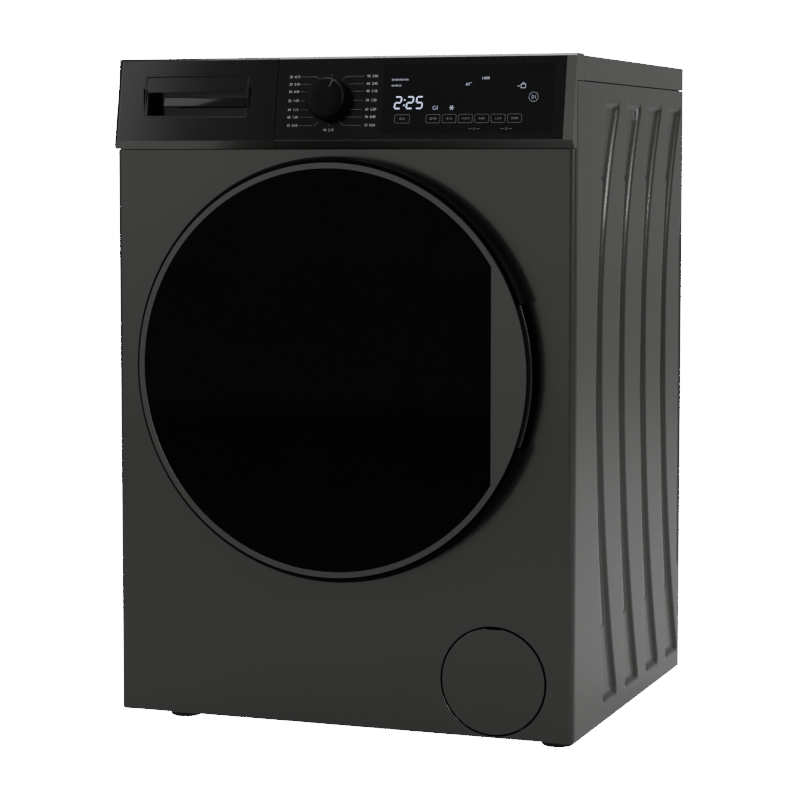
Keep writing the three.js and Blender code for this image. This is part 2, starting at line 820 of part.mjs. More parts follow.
function drainPump() {
  const outline = [
    [0, depth(205)],
    [28, depth(205)],
    [28, depth(152)],
    [40, depth(150)],
    [40, depth(32)],
    [33, depth(32)],
    [33, depth(140)],
    [0, depth(146)],
  ];
  return turnY(outline, FILTER_X, FILTER_Z, 24);
}

function filterCap() {
  const cap = turnY(
    [[0, depth(26)], [32, depth(26)], [32, depth(60)], [29, depth(60)], [29, depth(32)], [0, depth(32)]],
    FILTER_X,
    FILTER_Z,
    24,
  );
  const grip = block(FILTER_X - 22, FILTER_X + 22, depth(12), depth(27), FILTER_Z - 4, FILTER_Z + 4);
  return join(cap, grip);
}

// Cup behind the round service hole, with two ears for the cover's hinge peg.
function filterFrame() {
  const outline = [
    [FILTER_R + 2, depth(1.6)],
    [FILTER_R + 3.5, depth(1.6)],
    [FILTER_R + 3.5, depth(31.6)],
    [34, depth(31.6)],
    [34, depth(29)],
    [FILTER_R + 2, depth(29)],
    [FILTER_R + 2, depth(1.6)],
  ];
  const cup = turnY(outline, FILTER_X, FILTER_Z, 32);
  const ears = [-1, 1].map((side) => {
    const x = FILTER_X + side * FLAP_PEG_X;
    return block(x - 1.8, x + 1.8, depth(2.4), depth(9), FLAP_PEG_Z - 7, FLAP_PEG_Z + 4.5);
  });
  const reach = FLAP_PEG_X + 6;
  const y = depth(FLAP_PEG_DEPTH);
  const pegHole = cylinderX(2.1, FILTER_X - reach, FILTER_X + reach, y, FLAP_PEG_Z);
  return cut(join(cup, ...ears), pegHole);
}

function cylinderX(r, x0, x1, y, z) {
  const body = new THREE.CylinderGeometry(r, r, x1 - x0, 14).rotateZ(Math.PI / 2);
  return solid(body.translate((x0 + x1) / 2, y, z));
}

// Round flap, flush with the front panel, with a finger notch at its top.
function filterCover() {
  const flap = turnY(disc(FILTER_R, depth(-0.6), depth(1.6)), FILTER_X, FILTER_Z, 40);
  const top = FILTER_Z + FILTER_R;
  const notch = block(FILTER_X - 9, FILTER_X + 9, depth(-2), depth(3), top - 6, top + 12);
  const reach = FLAP_PEG_X + 1.5;
  const y = depth(FLAP_PEG_DEPTH);
  const peg = cylinderX(1.6, FILTER_X - reach, FILTER_X + reach, y, FLAP_PEG_Z);
  const lug = block(FILTER_X - 30, FILTER_X + 30, depth(1), y, FLAP_PEG_Z - 1, FLAP_PEG_Z + 4);
  return join(cut(flap, notch), peg, lug);
}

// ---- Assembly ----
add("side_panel_right", sidePanel(), "silver");
add("side_panel_left", mirrorX(sidePanel()), "silver");
add("front_panel", frontPanel(), "silver");
add("rear_panel", rearPanel(), "zinc");
add("rear_cover", rearCover(), "zinc");
add("base_frame", baseFrame(), "zinc");
FEET.forEach(([name, x, y]) => add(name, foot(x, y), "black_matte"));
add("worktop", worktop(), "silver");

add("control_fascia", controlFascia(), "silver");
add("fascia_face", fasciaFace(), "black_gloss");
add("display_window", displayWindow(), "glass");
add("control_board", controlBoard(), "white_plastic");
add("selector_switch", selectorSwitch(), "white_plastic");
add("program_knob", programKnob(), "black_matte");

add("drawer_front", drawerFront(), "black_gloss");
add("drawer_tray", drawerTray(), "white_plastic");
add("siphon_cap", siphonCap(), "white_plastic");
add("dispenser_housing", dispenserHousing(), "tub_plastic");

add("door_rim", doorRim(), "silver");
add("door_panel", doorPanel(), "black_gloss");
add("door_back_frame", doorBackFrame(), "black_matte");
add("door_bowl", doorBowl(), "glass");
add("door_hinge", doorHinge(), "zinc");
add("hinge_pin", hingePin(), "steel");
add("hinge_leaf", hingeLeaf(), "zinc");
add("handle_lever", handleLever(), "silver");
add("latch_hook", latchHook(), "white_plastic");
add("door_lock", doorLock(), "white_plastic");

add("door_gasket", doorGasket(), "rubber");
add("tub_front", tubFront(), "tub_plastic");
add("tub_rear", tubRear(), "tub_plastic");
add("water_heater", waterHeater(), "steel");
add("counterweight", counterweight(), "concrete");
add("bearing_front", bearing(400, 412), "steel");
add("bearing_rear", bearing(415, 427), "steel");
add("drive_motor", driveMotor(), "black_matte");
add("motor_rotor", motorRotor(), "steel");
add("drive_belt", driveBelt(), "rubber");
add("drum_shell", drumShell(), "steel");
add("drum_spider", drumSpider(), "zinc");
add("drum_pulley", drumPulley(), "zinc");
[0, 120, 240].forEach((angle, i) => add(`drum_lifter_${i + 1}`, drumLifter(angle), "tub_plastic"));

add("damper_cylinder_right", damperCylinder(), "black_matte");
add("damper_cylinder_left", mirrorX(damperCylinder()), "black_matte");
add("damper_rod_right", damperRod(), "steel");
add("damper_rod_left", mirrorX(damperRod()), "steel");
add("suspension_spring_right", suspensionSpring(), "steel");
add("suspension_spring_left", mirrorX(suspensionSpring()), "steel");
add("inlet_valve", inletValve(), "white_plastic");
add("drain_outlet", drainOutlet(), "black_matte");
add("mains_gland", mainsGland(), "black_matte");
add("drain_pump", drainPump(), "tub_plastic");
add("filter_cap", filterCap(), "white_plastic");
add("filter_frame", filterFrame(), "black_matte");
add("filter_cover", filterCover(), "silver");

export default machine;
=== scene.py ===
import json
import math

import bmesh
import bpy
from mathutils import Matrix, Vector

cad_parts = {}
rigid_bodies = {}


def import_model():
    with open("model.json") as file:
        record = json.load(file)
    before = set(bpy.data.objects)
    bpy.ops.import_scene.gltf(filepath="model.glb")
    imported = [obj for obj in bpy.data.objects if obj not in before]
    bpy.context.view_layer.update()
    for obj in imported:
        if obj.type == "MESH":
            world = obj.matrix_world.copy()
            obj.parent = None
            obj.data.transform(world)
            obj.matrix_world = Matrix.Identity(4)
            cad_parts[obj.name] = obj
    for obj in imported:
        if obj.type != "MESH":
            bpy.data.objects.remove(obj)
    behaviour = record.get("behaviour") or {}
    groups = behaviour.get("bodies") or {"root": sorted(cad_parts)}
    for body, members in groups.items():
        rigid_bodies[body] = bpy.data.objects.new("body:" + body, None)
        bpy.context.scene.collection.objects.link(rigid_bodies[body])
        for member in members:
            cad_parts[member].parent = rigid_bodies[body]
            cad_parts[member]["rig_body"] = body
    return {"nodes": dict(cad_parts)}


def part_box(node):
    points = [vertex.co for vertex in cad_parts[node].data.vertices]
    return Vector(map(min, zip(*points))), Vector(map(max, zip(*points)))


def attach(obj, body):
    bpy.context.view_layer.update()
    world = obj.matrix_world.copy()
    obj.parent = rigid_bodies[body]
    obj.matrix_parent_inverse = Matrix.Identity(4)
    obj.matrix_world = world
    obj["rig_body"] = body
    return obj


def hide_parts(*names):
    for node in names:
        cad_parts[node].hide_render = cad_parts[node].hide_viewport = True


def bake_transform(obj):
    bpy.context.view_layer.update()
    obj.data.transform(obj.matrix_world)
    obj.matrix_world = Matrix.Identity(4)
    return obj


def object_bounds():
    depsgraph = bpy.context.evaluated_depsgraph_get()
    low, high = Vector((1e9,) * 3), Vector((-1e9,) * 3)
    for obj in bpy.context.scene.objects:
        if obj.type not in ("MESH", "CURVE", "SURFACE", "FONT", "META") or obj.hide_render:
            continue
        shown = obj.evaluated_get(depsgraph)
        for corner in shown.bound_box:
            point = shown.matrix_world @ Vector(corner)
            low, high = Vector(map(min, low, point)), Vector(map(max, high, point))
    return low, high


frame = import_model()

cad_low, cad_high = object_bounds()
scene = bpy.context.scene

# ---------------------------------------------------------------------------
# Studio: a pale floor, a pale surround, and a camera at standing height to
# the right of the machine, turned about twenty degrees.
# ---------------------------------------------------------------------------
camera_data = bpy.data.cameras.new("camera")
camera_data.sensor_width = 36.0
camera_data.lens = 114.05
camera_data.shift_y = -0.05
camera_data.clip_start = 0.05
camera_data.clip_end = 40.0
camera = bpy.data.objects.new("camera", camera_data)
scene.collection.objects.link(camera)
camera.location = (1.1385, cad_low.y + 0.037 - 2.8638, 0.7175)
camera.rotation_euler = (math.radians(90 - 4.477), 0.0, math.radians(20.29))
scene.camera = camera

floor_mesh = bpy.data.meshes.new("floor")
floor_bm = bmesh.new()
bmesh.ops.create_grid(floor_bm, x_segments=1, y_segments=1, size=14.0)
floor_bm.to_mesh(floor_mesh)
floor_bm.free()
floor = bpy.data.objects.new("floor", floor_mesh)
scene.collection.objects.link(floor)
floor_paint = bpy.data.materials.new("floor_paint")
floor_paint.use_nodes = True
SOFT_WHITE = (1.0, 0.99, 0.97, 1.0)


def put(node, values):
    """Sets a shader node's sockets by name or number."""
    for socket, value in values.items():
        node.inputs[socket].default_value = value


def add_node(tree, kind, values={}, feeds={}):
    """Adds a shader node, sets its sockets, and feeds others from given outputs."""
    node = tree.nodes.new("ShaderNode" + kind)
    put(node, values)
    for socket, source in feeds.items():
        tree.links.new(source, node.inputs[socket])
    return node


tree = floor_paint.node_tree
paint = tree.nodes["Principled BSDF"]
put(paint, {"Base Color": (0.3, 0.3, 0.3, 1.0), "Roughness": 0.9, "Specular IOR Level": 0.1,
            "Emission Color": SOFT_WHITE, "Emission Strength": 0.15})
lit = add_node(tree, "Emission", {"Strength": 32.0})
direct = add_node(tree, "LightPath")
mostly = add_node(tree, "Math", {1: 0.8}, {0: direct.outputs["Is Camera Ray"]})
mostly.operation = "MULTIPLY"
shown = add_node(tree, "MixShader", {}, {"Fac": mostly.outputs["Value"], 1: paint.outputs["BSDF"],
                                         2: lit.outputs["Emission"]})
tree.links.new(shown.outputs["Shader"], tree.nodes["Material Output"].inputs["Surface"])
floor_mesh.materials.append(floor_paint)

scene.world = bpy.data.worlds.new("surround")
scene.world.use_nodes = True
tree = scene.world.node_tree
tree.nodes.clear()
seen = add_node(tree, "Background", {"Color": (1.0, 1.0, 1.0, 1.0), "Strength": 30.0})
lighting = add_node(tree, "Background", {"Color": SOFT_WHITE, "Strength": 0.26})
direct = add_node(tree, "LightPath")
either = add_node(tree, "MixShader", {}, {"Fac": direct.outputs["Is Camera Ray"],
                                          1: lighting.outputs["Background"], 2: seen.outputs["Background"]})
add_node(tree, "OutputWorld", {}, {"Surface": either.outputs["Shader"]})


def soft_light(name, place, aim, width, height, power):
    """A rectangular soft box at place, facing aim, in metres and watts."""
    data = bpy.data.lights.new(name, "AREA")
    data.shape = "RECTANGLE"
    data.size = width
    data.size_y = height
    data.energy = power
    lamp = bpy.data.objects.new(name, data)
    scene.collection.objects.link(lamp)
    lamp.location = place
    lamp.rotation_euler = (Vector(aim) - Vector(place)).to_track_quat("-Z", "Y").to_euler()


soft_light("key", (3.2, -1.6, 2.1), (0.2, 0.0, 0.45), 1.4, 2.6, 55.0)
soft_light("fill", (-2.6, -2.6, 2.3), (-0.1, -0.2, 0.6), 2.2, 2.2, 30.0)
soft_light("low_fill", (-1.8, -4.2, 0.75), (0.1, -0.25, 0.45), 3.2, 1.6, 6.0)
soft_light("rib_light", (3.3, 0.35, 1.9), (0.3, 0.1, 0.6), 0.4, 1.4, 14.0)
soft_light("top", (0.0, 0.2, 3.2), (0.0, 0.0, 0.5), 2.6, 2.6, 70.0)
soft_light("back", (-1.2, 3.4, 1.8), (0.0, 0.2, 0.5), 2.0, 1.8, 30.0)
# ---------------------------------------------------------------------------
# Side panels: two sheets of painted steel, bent over at all four edges and
# stiffened by four tall curved ribs pressed inwards. A welded bracket inside
# each one carries a suspension spring.
# ---------------------------------------------------------------------------
def box_mm(node):
    """The lowest and highest corner of a CAD node, in millimetres."""
    low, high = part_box(node)
    return low * 1000.0, high * 1000.0


def surface(name, colour, metallic=0.0, roughness=0.4, drift=0.06, drift_size=60.0,
            rough_drift=0.05, grain=0.0, grain_size=0.8, coat=0.0, specular=0.5,
            stretch=(1.0, 1.0, 1.0)):
    """A finish whose colour and roughness drift over drift_size millimetres, with a fine raised grain."""
    made = bpy.data.materials.new(name)
    made.use_nodes = True
    tree = made.node_tree
    shader = tree.nodes["Principled BSDF"]
    put(shader, {"Metallic": metallic, "Specular IOR Level": specular, "Coat Weight": coat,
                 "Coat Roughness": 0.13})
    where = add_node(tree, "TexCoord")
    laid = add_node(tree, "Mapping", {"Scale": stretch}, {"Vector": where.outputs["Object"]}).outputs["Vector"]
    broad = add_node(tree, "TexNoise", {"Scale": 1000.0 / drift_size, "Detail": 4.0}, {"Vector": laid})
    dark, light = ((*(c * (1.0 + change) for c in colour), 1.0) for change in (-drift, drift))
    tone = add_node(tree, "Mix", {6: dark, 7: light}, {0: broad.outputs["Fac"]})
    tone.data_type = "RGBA"
    tree.links.new(tone.outputs[2], shader.inputs["Base Color"])
    level = add_node(tree, "MapRange", {"To Min": max(0.02, roughness - rough_drift),
                                        "To Max": roughness + rough_drift}, {"Value": broad.outputs["Fac"]})
    tree.links.new(level.outputs["Result"], shader.inputs["Roughness"])
    if grain:
        fine = add_node(tree, "TexNoise", {"Scale": 1000.0 / grain_size, "Detail": 2.0}, {"Vector": laid})
        lift = add_node(tree, "Bump", {"Strength": 0.6, "Distance": grain / 1000.0},
                        {"Height": fine.outputs["Fac"]})
        tree.links.new(lift.outputs["Normal"], shader.inputs["Normal"])
    return made


def fit(name, bm, body, finishes, stands_for=None, crease=30.0, weighted=False):
    """Turns a bmesh in millimetres into a piece in metres, and fixes it to a body."""
    bmesh.ops.scale(bm, vec=(0.001, 0.001, 0.001), verts=bm.verts)
    bm.normal_update()
    limit = math.radians(crease)
    for face in bm.faces:
        face.smooth = True
    for edge in bm.edges:
        edge.smooth = len(edge.link_faces) != 2 or edge.calc_face_angle(0.0) < limit
    mesh = bpy.data.meshes.new(name)
    bm.to_mesh(mesh)
    bm.free()
    for finish in finishes if isinstance(finishes, list) else [finishes]:
        mesh.materials.append(finish)
    piece = bpy.data.objects.new(name, mesh)
    scene.collection.objects.link(piece)
    if weighted:
        piece.modifiers.new("even_shading", "WEIGHTED_NORMAL").keep_sharp = True
    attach(piece, body)
    if stands_for:
        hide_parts(*([stands_for] if isinstance(stands_for, str) else stands_for))
    return piece


def thicken(piece, metres):
    """Gives a sheet its thickness, inwards."""
    sheet = piece.modifiers.new("sheet", "SOLIDIFY")
    sheet.thickness, sheet.offset = metres, -1.0


def shift(bm, x=0.0, y=0.0, z=0.0):
    bmesh.ops.translate(bm, vec=(x, y, z), verts=bm.verts)


def turn_about(bm, axis, degrees, centre=(0, 0, 0)):
    bmesh.ops.rotate(bm, cent=centre, matrix=Matrix.Rotation(math.radians(degrees), 3, axis), verts=bm.verts)


def flipped(bm):
    """Turns a right-hand piece into the left-hand one."""
    bmesh.ops.scale(bm, vec=(-1, 1, 1), verts=bm.verts)
    bmesh.ops.reverse_faces(bm, faces=bm.faces)


def drawn_out(bm, faces, x=0.0, y=0.0):
    """Extrudes flat faces into a solid, along X or Y."""
    grown = bmesh.ops.extrude_face_region(bm, geom=faces)["geom"]
    bmesh.ops.translate(bm, vec=(x, y, 0), verts=[g for g in grown if isinstance(g, bmesh.types.BMVert)])
    bmesh.ops.recalc_face_normals(bm, faces=bm.faces)
    return bm


def block(x0, x1, y0, y1, z0, z1):
    """A rectangular block between those limits, in millimetres."""
    bm = bmesh.new()
    bmesh.ops.create_cube(bm, size=1.0)
    bmesh.ops.scale(bm, vec=(x1 - x0, y1 - y0, z1 - z0), verts=bm.verts)
    shift(bm, (x0 + x1) / 2, (y0 + y1) / 2, (z0 + z1) / 2)
    return bm


def soften(bm, width, steps=2, angle=28.0, chosen=None):
    """Rounds every edge sharper than angle, or only those that chosen(edge) picks."""
    bm.normal_update()
    limit = math.radians(angle)
    edges = [e for e in bm.edges if len(e.link_faces) == 2 and e.calc_face_angle(0.0) > limit
             and (chosen is None or chosen(e))]
    bmesh.ops.bevel(bm, geom=edges, offset=width, offset_type="OFFSET", segments=steps,
                    profile=0.5, affect="EDGES", clamp_overlap=True, material=-1)
    return bm


def join(bm, *others):
    """Adds the other bmeshes to bm as loose shells."""
    for other in others:
        spare = bpy.data.meshes.new("spare")
        other.to_mesh(spare)
        other.free()
        bm.from_mesh(spare)
        bpy.data.meshes.remove(spare)
    return bm


def turned(outline, segments=128, centre=(0.0, 0.0), closed=True):
    """A closed (radius, y) outline spun about the line along Y through centre (x, z)."""
    bm = bmesh.new()
    verts = [bm.verts.new((r, y, 0.0)) for r, y in outline]
    pairs = list(zip(verts, verts[1:])) + ([(verts[-1], verts[0])] if closed else [])
    edges = [bm.edges.new(pair) for pair in pairs]
    bmesh.ops.spin(bm, geom=verts + edges, cent=(0, 0, 0), axis=(0, 1, 0),
                   angle=2 * math.pi, steps=segments, use_merge=True)
    bmesh.ops.remove_doubles(bm, verts=bm.verts, dist=0.0005)
    bmesh.ops.recalc_face_normals(bm, faces=bm.faces)
    shift(bm, centre[0], 0.0, centre[1])
    return bm


FRONT_Y = -245.0
SIDE_X, EDGE_BEND, PANEL_GAUGE = 298.5, 2.0, 0.0011
graphite_paint = surface("graphite_paint", (0.058, 0.0575, 0.053), metallic=0.85, roughness=0.3,
                         drift=0.035, drift_size=140.0, rough_drift=0.03, grain=0.012,
                         grain_size=1.4, coat=0.7, stretch=(1.0, 1.0, 0.25))
zinc_plate = surface("zinc_plate", (0.55, 0.56, 0.56), metallic=1.0, roughness=0.42,
                     drift=0.14, drift_size=22.0, rough_drift=0.1, grain=0.01, grain_size=2.0)
RIB_PITCH, RIBS, RIB_DEEP, RIB_WALL = 103.5, 4, 4.8, 8.5
RIB_LEFT = [(47, 136), (70, 133), (151, 122), (250, 106), (430, 90), (560, 98), (691, 115),
            (770, 124), (790, 133)]


def ease(t):
    t = min(1.0, max(0.0, t))
    return t * t * (3.0 - 2.0 * t)


def along(table, z):
    """Reads a curve given as (height, distance) pairs."""
    for (z0, v0), (z1, v1) in zip(table, table[1:]):
        if z <= z1:
            return v0 + (v1 - v0) * min(1.0, max(0.0, (z - z0) / (z1 - z0)))
    return table[-1][1]


def rib_hollow(deep, z):
    """How far the sheet is pressed in at that distance behind the front and height."""
    if not 45 < z < 792:
        return 0.0
    bow = 68.0 * max(0.0, (z - 500.0) / 273.0) ** 2.2 + 71.0 * max(0.0, (500.0 - z) / 430.0) ** 2.2
    ends = ease((z - 46.0) / 9.0) * ease((790.0 - z) / 9.0)
    crisp = ease((150.0 - z) / 14.0) + ease((z - 690.0) / 14.0)
    total = 0.0
    for rib in range(RIBS):
        t = deep - rib * RIB_PITCH
        right, left = 121.5 + bow, along(RIB_LEFT, z)
        if not left < t < right:
            continue
        foot = right - RIB_WALL
        long_ramp = foot - left
        rise = ease((t - left) / (long_ramp + (6.0 - long_ramp) * min(1.0, crisp)))
        fall = ease((right - t) / RIB_WALL)
        total += RIB_DEEP * min(rise, fall) * ends
        total += 2.4 * math.exp(-(((t - left - 4.0) / 3.4) ** 2)) * min(1.0, crisp) * ends
    rear = math.exp(-(((deep - 508.0) / 5.0) ** 2)) * ease((z - 160.0) / 16.0) * ease((655.0 - z) / 60.0)
    return total + 2.0 * rear


for side, name in ((1, "right"), (-1, "left")):
    low, high = box_mm("side_panel_" + name)
    y0, y1, z0, z1 = low.y + EDGE_BEND, high.y - EDGE_BEND, low.z + EDGE_BEND, high.z - EDGE_BEND
    bm = bmesh.new()
    bmesh.ops.create_grid(bm, x_segments=196, y_segments=206, size=0.5)
    for v in bm.verts:
        y, z = (y0 + y1) / 2 + v.co.x * (y1 - y0), (z0 + z1) / 2 + v.co.y * (z1 - z0)
        v.co = (SIDE_X - rib_hollow(y - FRONT_Y, z), y, z)
    rim = [e for e in bm.edges if len(e.link_faces) == 1]
    turns = [math.radians(22.5 * k) for k in range(1, 5)]
    steps = [(SIDE_X - EDGE_BEND * (1 - math.cos(a)), EDGE_BEND * math.sin(a)) for a in turns]
    steps.append((286.0, EDGE_BEND))
    for x, out in steps:
        grown = bmesh.ops.extrude_edge_only(bm, edges=rim)["geom"]
        for v in (g for g in grown if isinstance(g, bmesh.types.BMVert)):
            at_front, at_back = v.co.y < y0 + 1e-3, v.co.y > y1 - 1e-3
            at_foot, at_top = v.co.z < z0 + 1e-3, v.co.z > z1 - 1e-3
            v.co.x = x
            if at_front or at_back:
                v.co.y = y0 - out if at_front else y1 + out
            if at_foot or at_top:
                v.co.z = z0 - out if at_foot else z1 + out
        rim = [g for g in grown if isinstance(g, bmesh.types.BMEdge)]
    bmesh.ops.recalc_face_normals(bm, faces=bm.faces)
    centre_face = min(bm.faces, key=lambda f: (f.calc_center_median() - Vector((298, 0, 400))).length)
    if centre_face.normal.x < 0:
        bmesh.ops.reverse_faces(bm, faces=bm.faces)
    if side < 0:
        flipped(bm)
    thicken(fit("panel_side_" + name, bm, "cabinet", graphite_paint,
                "side_panel_" + name, crease=40.0), PANEL_GAUGE)

    bracket = join(block(223.0, 296.0, 41, 69, 788.5, 791), block(293.5, 296.0, 41, 69, 762, 791))
    bmesh.ops.create_cone(bracket, cap_ends=True, segments=24, radius1=5, radius2=5, depth=16,
                          matrix=Matrix.Translation((235, 55, 780.5)))
    soften(bracket, 0.7)
    if side < 0:
        flipped(bracket)
    fit("spring_bracket_" + name, bracket, "cabinet", zinc_plate)
# ---------------------------------------------------------------------------
# Front panel: one painted steel pressing with rounded vertical edges, a round
# porthole for the door and a smaller round hole for the drain filter.
# ---------------------------------------------------------------------------
def copied(node):
    """A bmesh copy of a CAD node in millimetres, with its loose triangles merged."""
    bm = bmesh.new()
    bm.from_mesh(frame["nodes"][node].data)
    bmesh.ops.scale(bm, vec=(1000, 1000, 1000), verts=bm.verts)
    bmesh.ops.remove_doubles(bm, verts=bm.verts, dist=0.002)
    bmesh.ops.dissolve_limit(bm, angle_limit=math.radians(0.6), verts=bm.verts, edges=bm.edges)
    return bm


def dressed(piece, node, body, finish, slot, width, steps=2, angle=28.0):
    """A piece shaped as its CAD node, with its edges rounded."""
    return fit(piece, soften(copied(node), width, steps, angle), body, finish, node, weighted=True)


def carved(bm, *tools, how="DIFFERENCE"):
    """Cuts each tool out of bm, adds it with UNION, or keeps the shared part with INTERSECT."""
    held = []
    for part in (bm, *tools):
        mesh = bpy.data.meshes.new("blank")
        part.to_mesh(mesh)
        part.free()
        held.append(bpy.data.objects.new("blank", mesh))
        scene.collection.objects.link(held[-1])
    for tool in held[1:]:
        cut = held[0].modifiers.new("cut", "BOOLEAN")
        cut.operation = how
        cut.solver = "EXACT"
        cut.object = tool
    result = bmesh.new()
    result.from_object(held[0], bpy.context.evaluated_depsgraph_get())
    for blank in held:
        mesh = blank.data
        bpy.data.objects.remove(blank)
        bpy.data.meshes.remove(mesh)
    bmesh.ops.remove_doubles(result, verts=result.verts, dist=0.001)
    bmesh.ops.dissolve_limit(result, angle_limit=math.radians(0.4), verts=result.verts,
                             edges=result.edges)
    return result


low, high = box_mm("front_panel")
HALF, PANEL_TOP, PANEL_FOOT = high.x, high.z, low.z
DOOR_Z = (box_mm("door_gasket")[0].z + box_mm("door_gasket")[1].z) / 2
bm = block(-HALF, HALF, low.y, high.y, PANEL_FOOT, PANEL_TOP)


def front_upright(e):
    """Whether an edge stands upright near the panel's face."""
    return abs(e.verts[0].co.z - e.verts[1].co.z) > 1 and e.verts[0].co.y < low.y + 2


soften(bm, 7.2, 10, chosen=front_upright)
soften(bm, 2.2, 4, chosen=lambda e: min(v.co.z for v in e.verts) > PANEL_TOP - 0.01)
soften(bm, 1.0, 3, chosen=lambda e: max(v.co.z for v in e.verts) < PANEL_FOOT + 0.01)
hollow = block(-HALF + 1.3, HALF - 1.3, low.y + 1.2, high.y + 5, PANEL_FOOT + 1.2, PANEL_TOP - 1.2)
soften(hollow, 6.2, 8, chosen=front_upright)
FILTER = (199.0, 93.0)
front, back = low.y - 9, high.y + 9
porthole, filter_hole = (turned([(0, front), (r, front), (r, back), (0, back)], sides, centre, closed=False)
                         for r, sides, centre in ((186, 160, (0, DOOR_Z)), (66.9, 128, FILTER)))
bm = carved(bm, hollow, porthole, filter_hole, block(199, 226, front, back, 444, 486))
soften(bm, 0.6, 3, angle=50.0, chosen=lambda e: max(v.co.y for v in e.verts) < low.y + 0.05)
fit("panel_front", bm, "cabinet", graphite_paint, "front_panel", weighted=True)

# ---------------------------------------------------------------------------
# Worktop: a moulded frame with a skirt all round, in the cabinet's colour,
# holding a laminated board whose top lies in a shallow seat.
# ---------------------------------------------------------------------------
laminate = surface("laminate", (0.09, 0.088, 0.083), metallic=0.2, roughness=0.45, drift=0.12,
                   drift_size=3.0, rough_drift=0.08, grain=0.06, grain_size=1.1, specular=0.4)
low, high = box_mm("worktop")
bm = block(low.x, high.x, low.y, high.y, low.z, high.z)
soften(bm, 2.5, 4, chosen=lambda e: max(v.co.z for v in e.verts) > high.z - 0.01)
seat = block(low.x + 13, high.x - 13, low.y + 6, high.y - 13, high.z - 1.4, high.z + 5)
under = block(low.x + 2.5, high.x - 2.5, low.y + 2.5, high.y - 2.5, low.z - 5, high.z - 3.2)
bm = carved(bm, seat, under)
soften(bm, 0.5, 2, angle=50.0)
silver_moulding = surface("silver_moulding", (0.13, 0.129, 0.121), metallic=0.75, roughness=0.33,
                          drift=0.03, drift_size=90.0, rough_drift=0.03, grain=0.02, grain_size=0.7,
                          coat=0.3)
fit("worktop_frame", bm, "cabinet", silver_moulding, "worktop", weighted=True)
bm = block(low.x + 13.5, high.x - 13.5, low.y + 6.5, high.y - 13.5, high.z - 1.4, high.z - 0.35)
soften(bm, 0.4, 2)
fit("worktop_board", bm, "cabinet", laminate, weighted=True)
# ---------------------------------------------------------------------------
# Control panel: a moulded body in satin silver with a lip and end caps, a
# glossy black face that leans back, and a smoked window over the display.
# ---------------------------------------------------------------------------
piano_black = surface("piano_black", (0.005, 0.005, 0.0053), roughness=0.12, drift=0.15,
                      drift_size=70.0, rough_drift=0.02, grain=0.004, grain_size=6.0, specular=0.35)
smoked_glass = surface("smoked_glass", (0.0035, 0.0036, 0.004), roughness=0.06, drift=0.2,
                       drift_size=50.0, rough_drift=0.015, grain=0.002, grain_size=9.0, specular=0.3)
white_ink = surface("white_ink", (0.6, 0.61, 0.62), roughness=0.6, drift=0.05, drift_size=4.0,
                    grain=0.01, grain_size=0.3)
grey_ink = surface("grey_ink", (0.23, 0.235, 0.24), roughness=0.6, drift=0.06, drift_size=4.0,
                   grain=0.01, grain_size=0.3)
dressed("fascia_body", "control_fascia", "cabinet", silver_moulding, "silver_plastic", 0.7, 3, 25.0)
dressed("fascia_black", "fascia_face", "cabinet", piano_black, "black_gloss", 0.35, 3, 25.0)
dressed("display_glass", "display_window", "cabinet", smoked_glass, "smoked_window", 0.25, 2, 25.0)

# ---------------------------------------------------------------------------
# Display and printing: lit digits behind the window, outlined touch keys,
# and white printed numbers with leader lines round the programme knob.
# ---------------------------------------------------------------------------
FACE_FOOT_Z, FACE_TALL, FACE_LEAN, FACE_PROUD = 743.0, 99.0, 18.0, 12.0
LEAN = math.atan2(FACE_LEAN, FACE_TALL)


def depth_at(z):
    """Y of the leaning face at a height."""
    return FRONT_Y - FACE_PROUD + FACE_LEAN * (z - FACE_FOOT_Z) / FACE_TALL


def on_face(x, z, proud=0.0):
    """The place and slope of a point on the leaning face, square to it and proud of it."""
    up = Vector((0.0, math.sin(LEAN), math.cos(LEAN)))
    out = Vector((0.0, -math.cos(LEAN), math.sin(LEAN)))
    origin = Vector((x, depth_at(z), z)) + out * proud
    return Matrix(((1.0, up.x, out.x, origin.x), (0.0, up.y, out.y, origin.y),
                   (0.0, up.z, out.z, origin.z), (0.0, 0.0, 0.0, 1.0)))


def glow(name, colour, power):
    """A lit display finish whose brightness varies slightly over the strokes."""
    made = surface(name, colour, roughness=0.5, drift=0.1, drift_size=2.0)
    tree = made.node_tree
    shader = tree.nodes["Principled BSDF"]
    put(shader, {"Emission Color": (*colour, 1.0)})
    where = add_node(tree, "TexCoord")
    spread = add_node(tree, "TexNoise", {"Scale": 400.0}, {"Vector": where.outputs["Object"]})
    level = add_node(tree, "MapRange", {"To Min": power * 0.85, "To Max": power * 1.15},
                     {"Value": spread.outputs["Fac"]})
    tree.links.new(level.outputs["Result"], shader.inputs["Emission Strength"])
    return made


def stroke(bm, points, width, closed=False):
    """A flat printed line through those (x, z) points on the face."""
    pairs = list(zip(points, points[1:])) + ([(points[-1], points[0])] if closed else [])
    for (xa, za), (xb, zb) in pairs:
        length = math.hypot(xb - xa, zb - za)
        turn = Matrix.Rotation(math.atan2(zb - za, xb - xa), 4, "Z")
        made = bmesh.ops.create_grid(bm, x_segments=1, y_segments=1, size=0.5)["verts"]
        bmesh.ops.scale(bm, vec=(length + width * 0.9, width, 1), verts=made)
        spot = on_face((xa + xb) / 2, (za + zb) / 2, INK_PROUD)
        bmesh.ops.transform(bm, matrix=spot @ turn, verts=made)


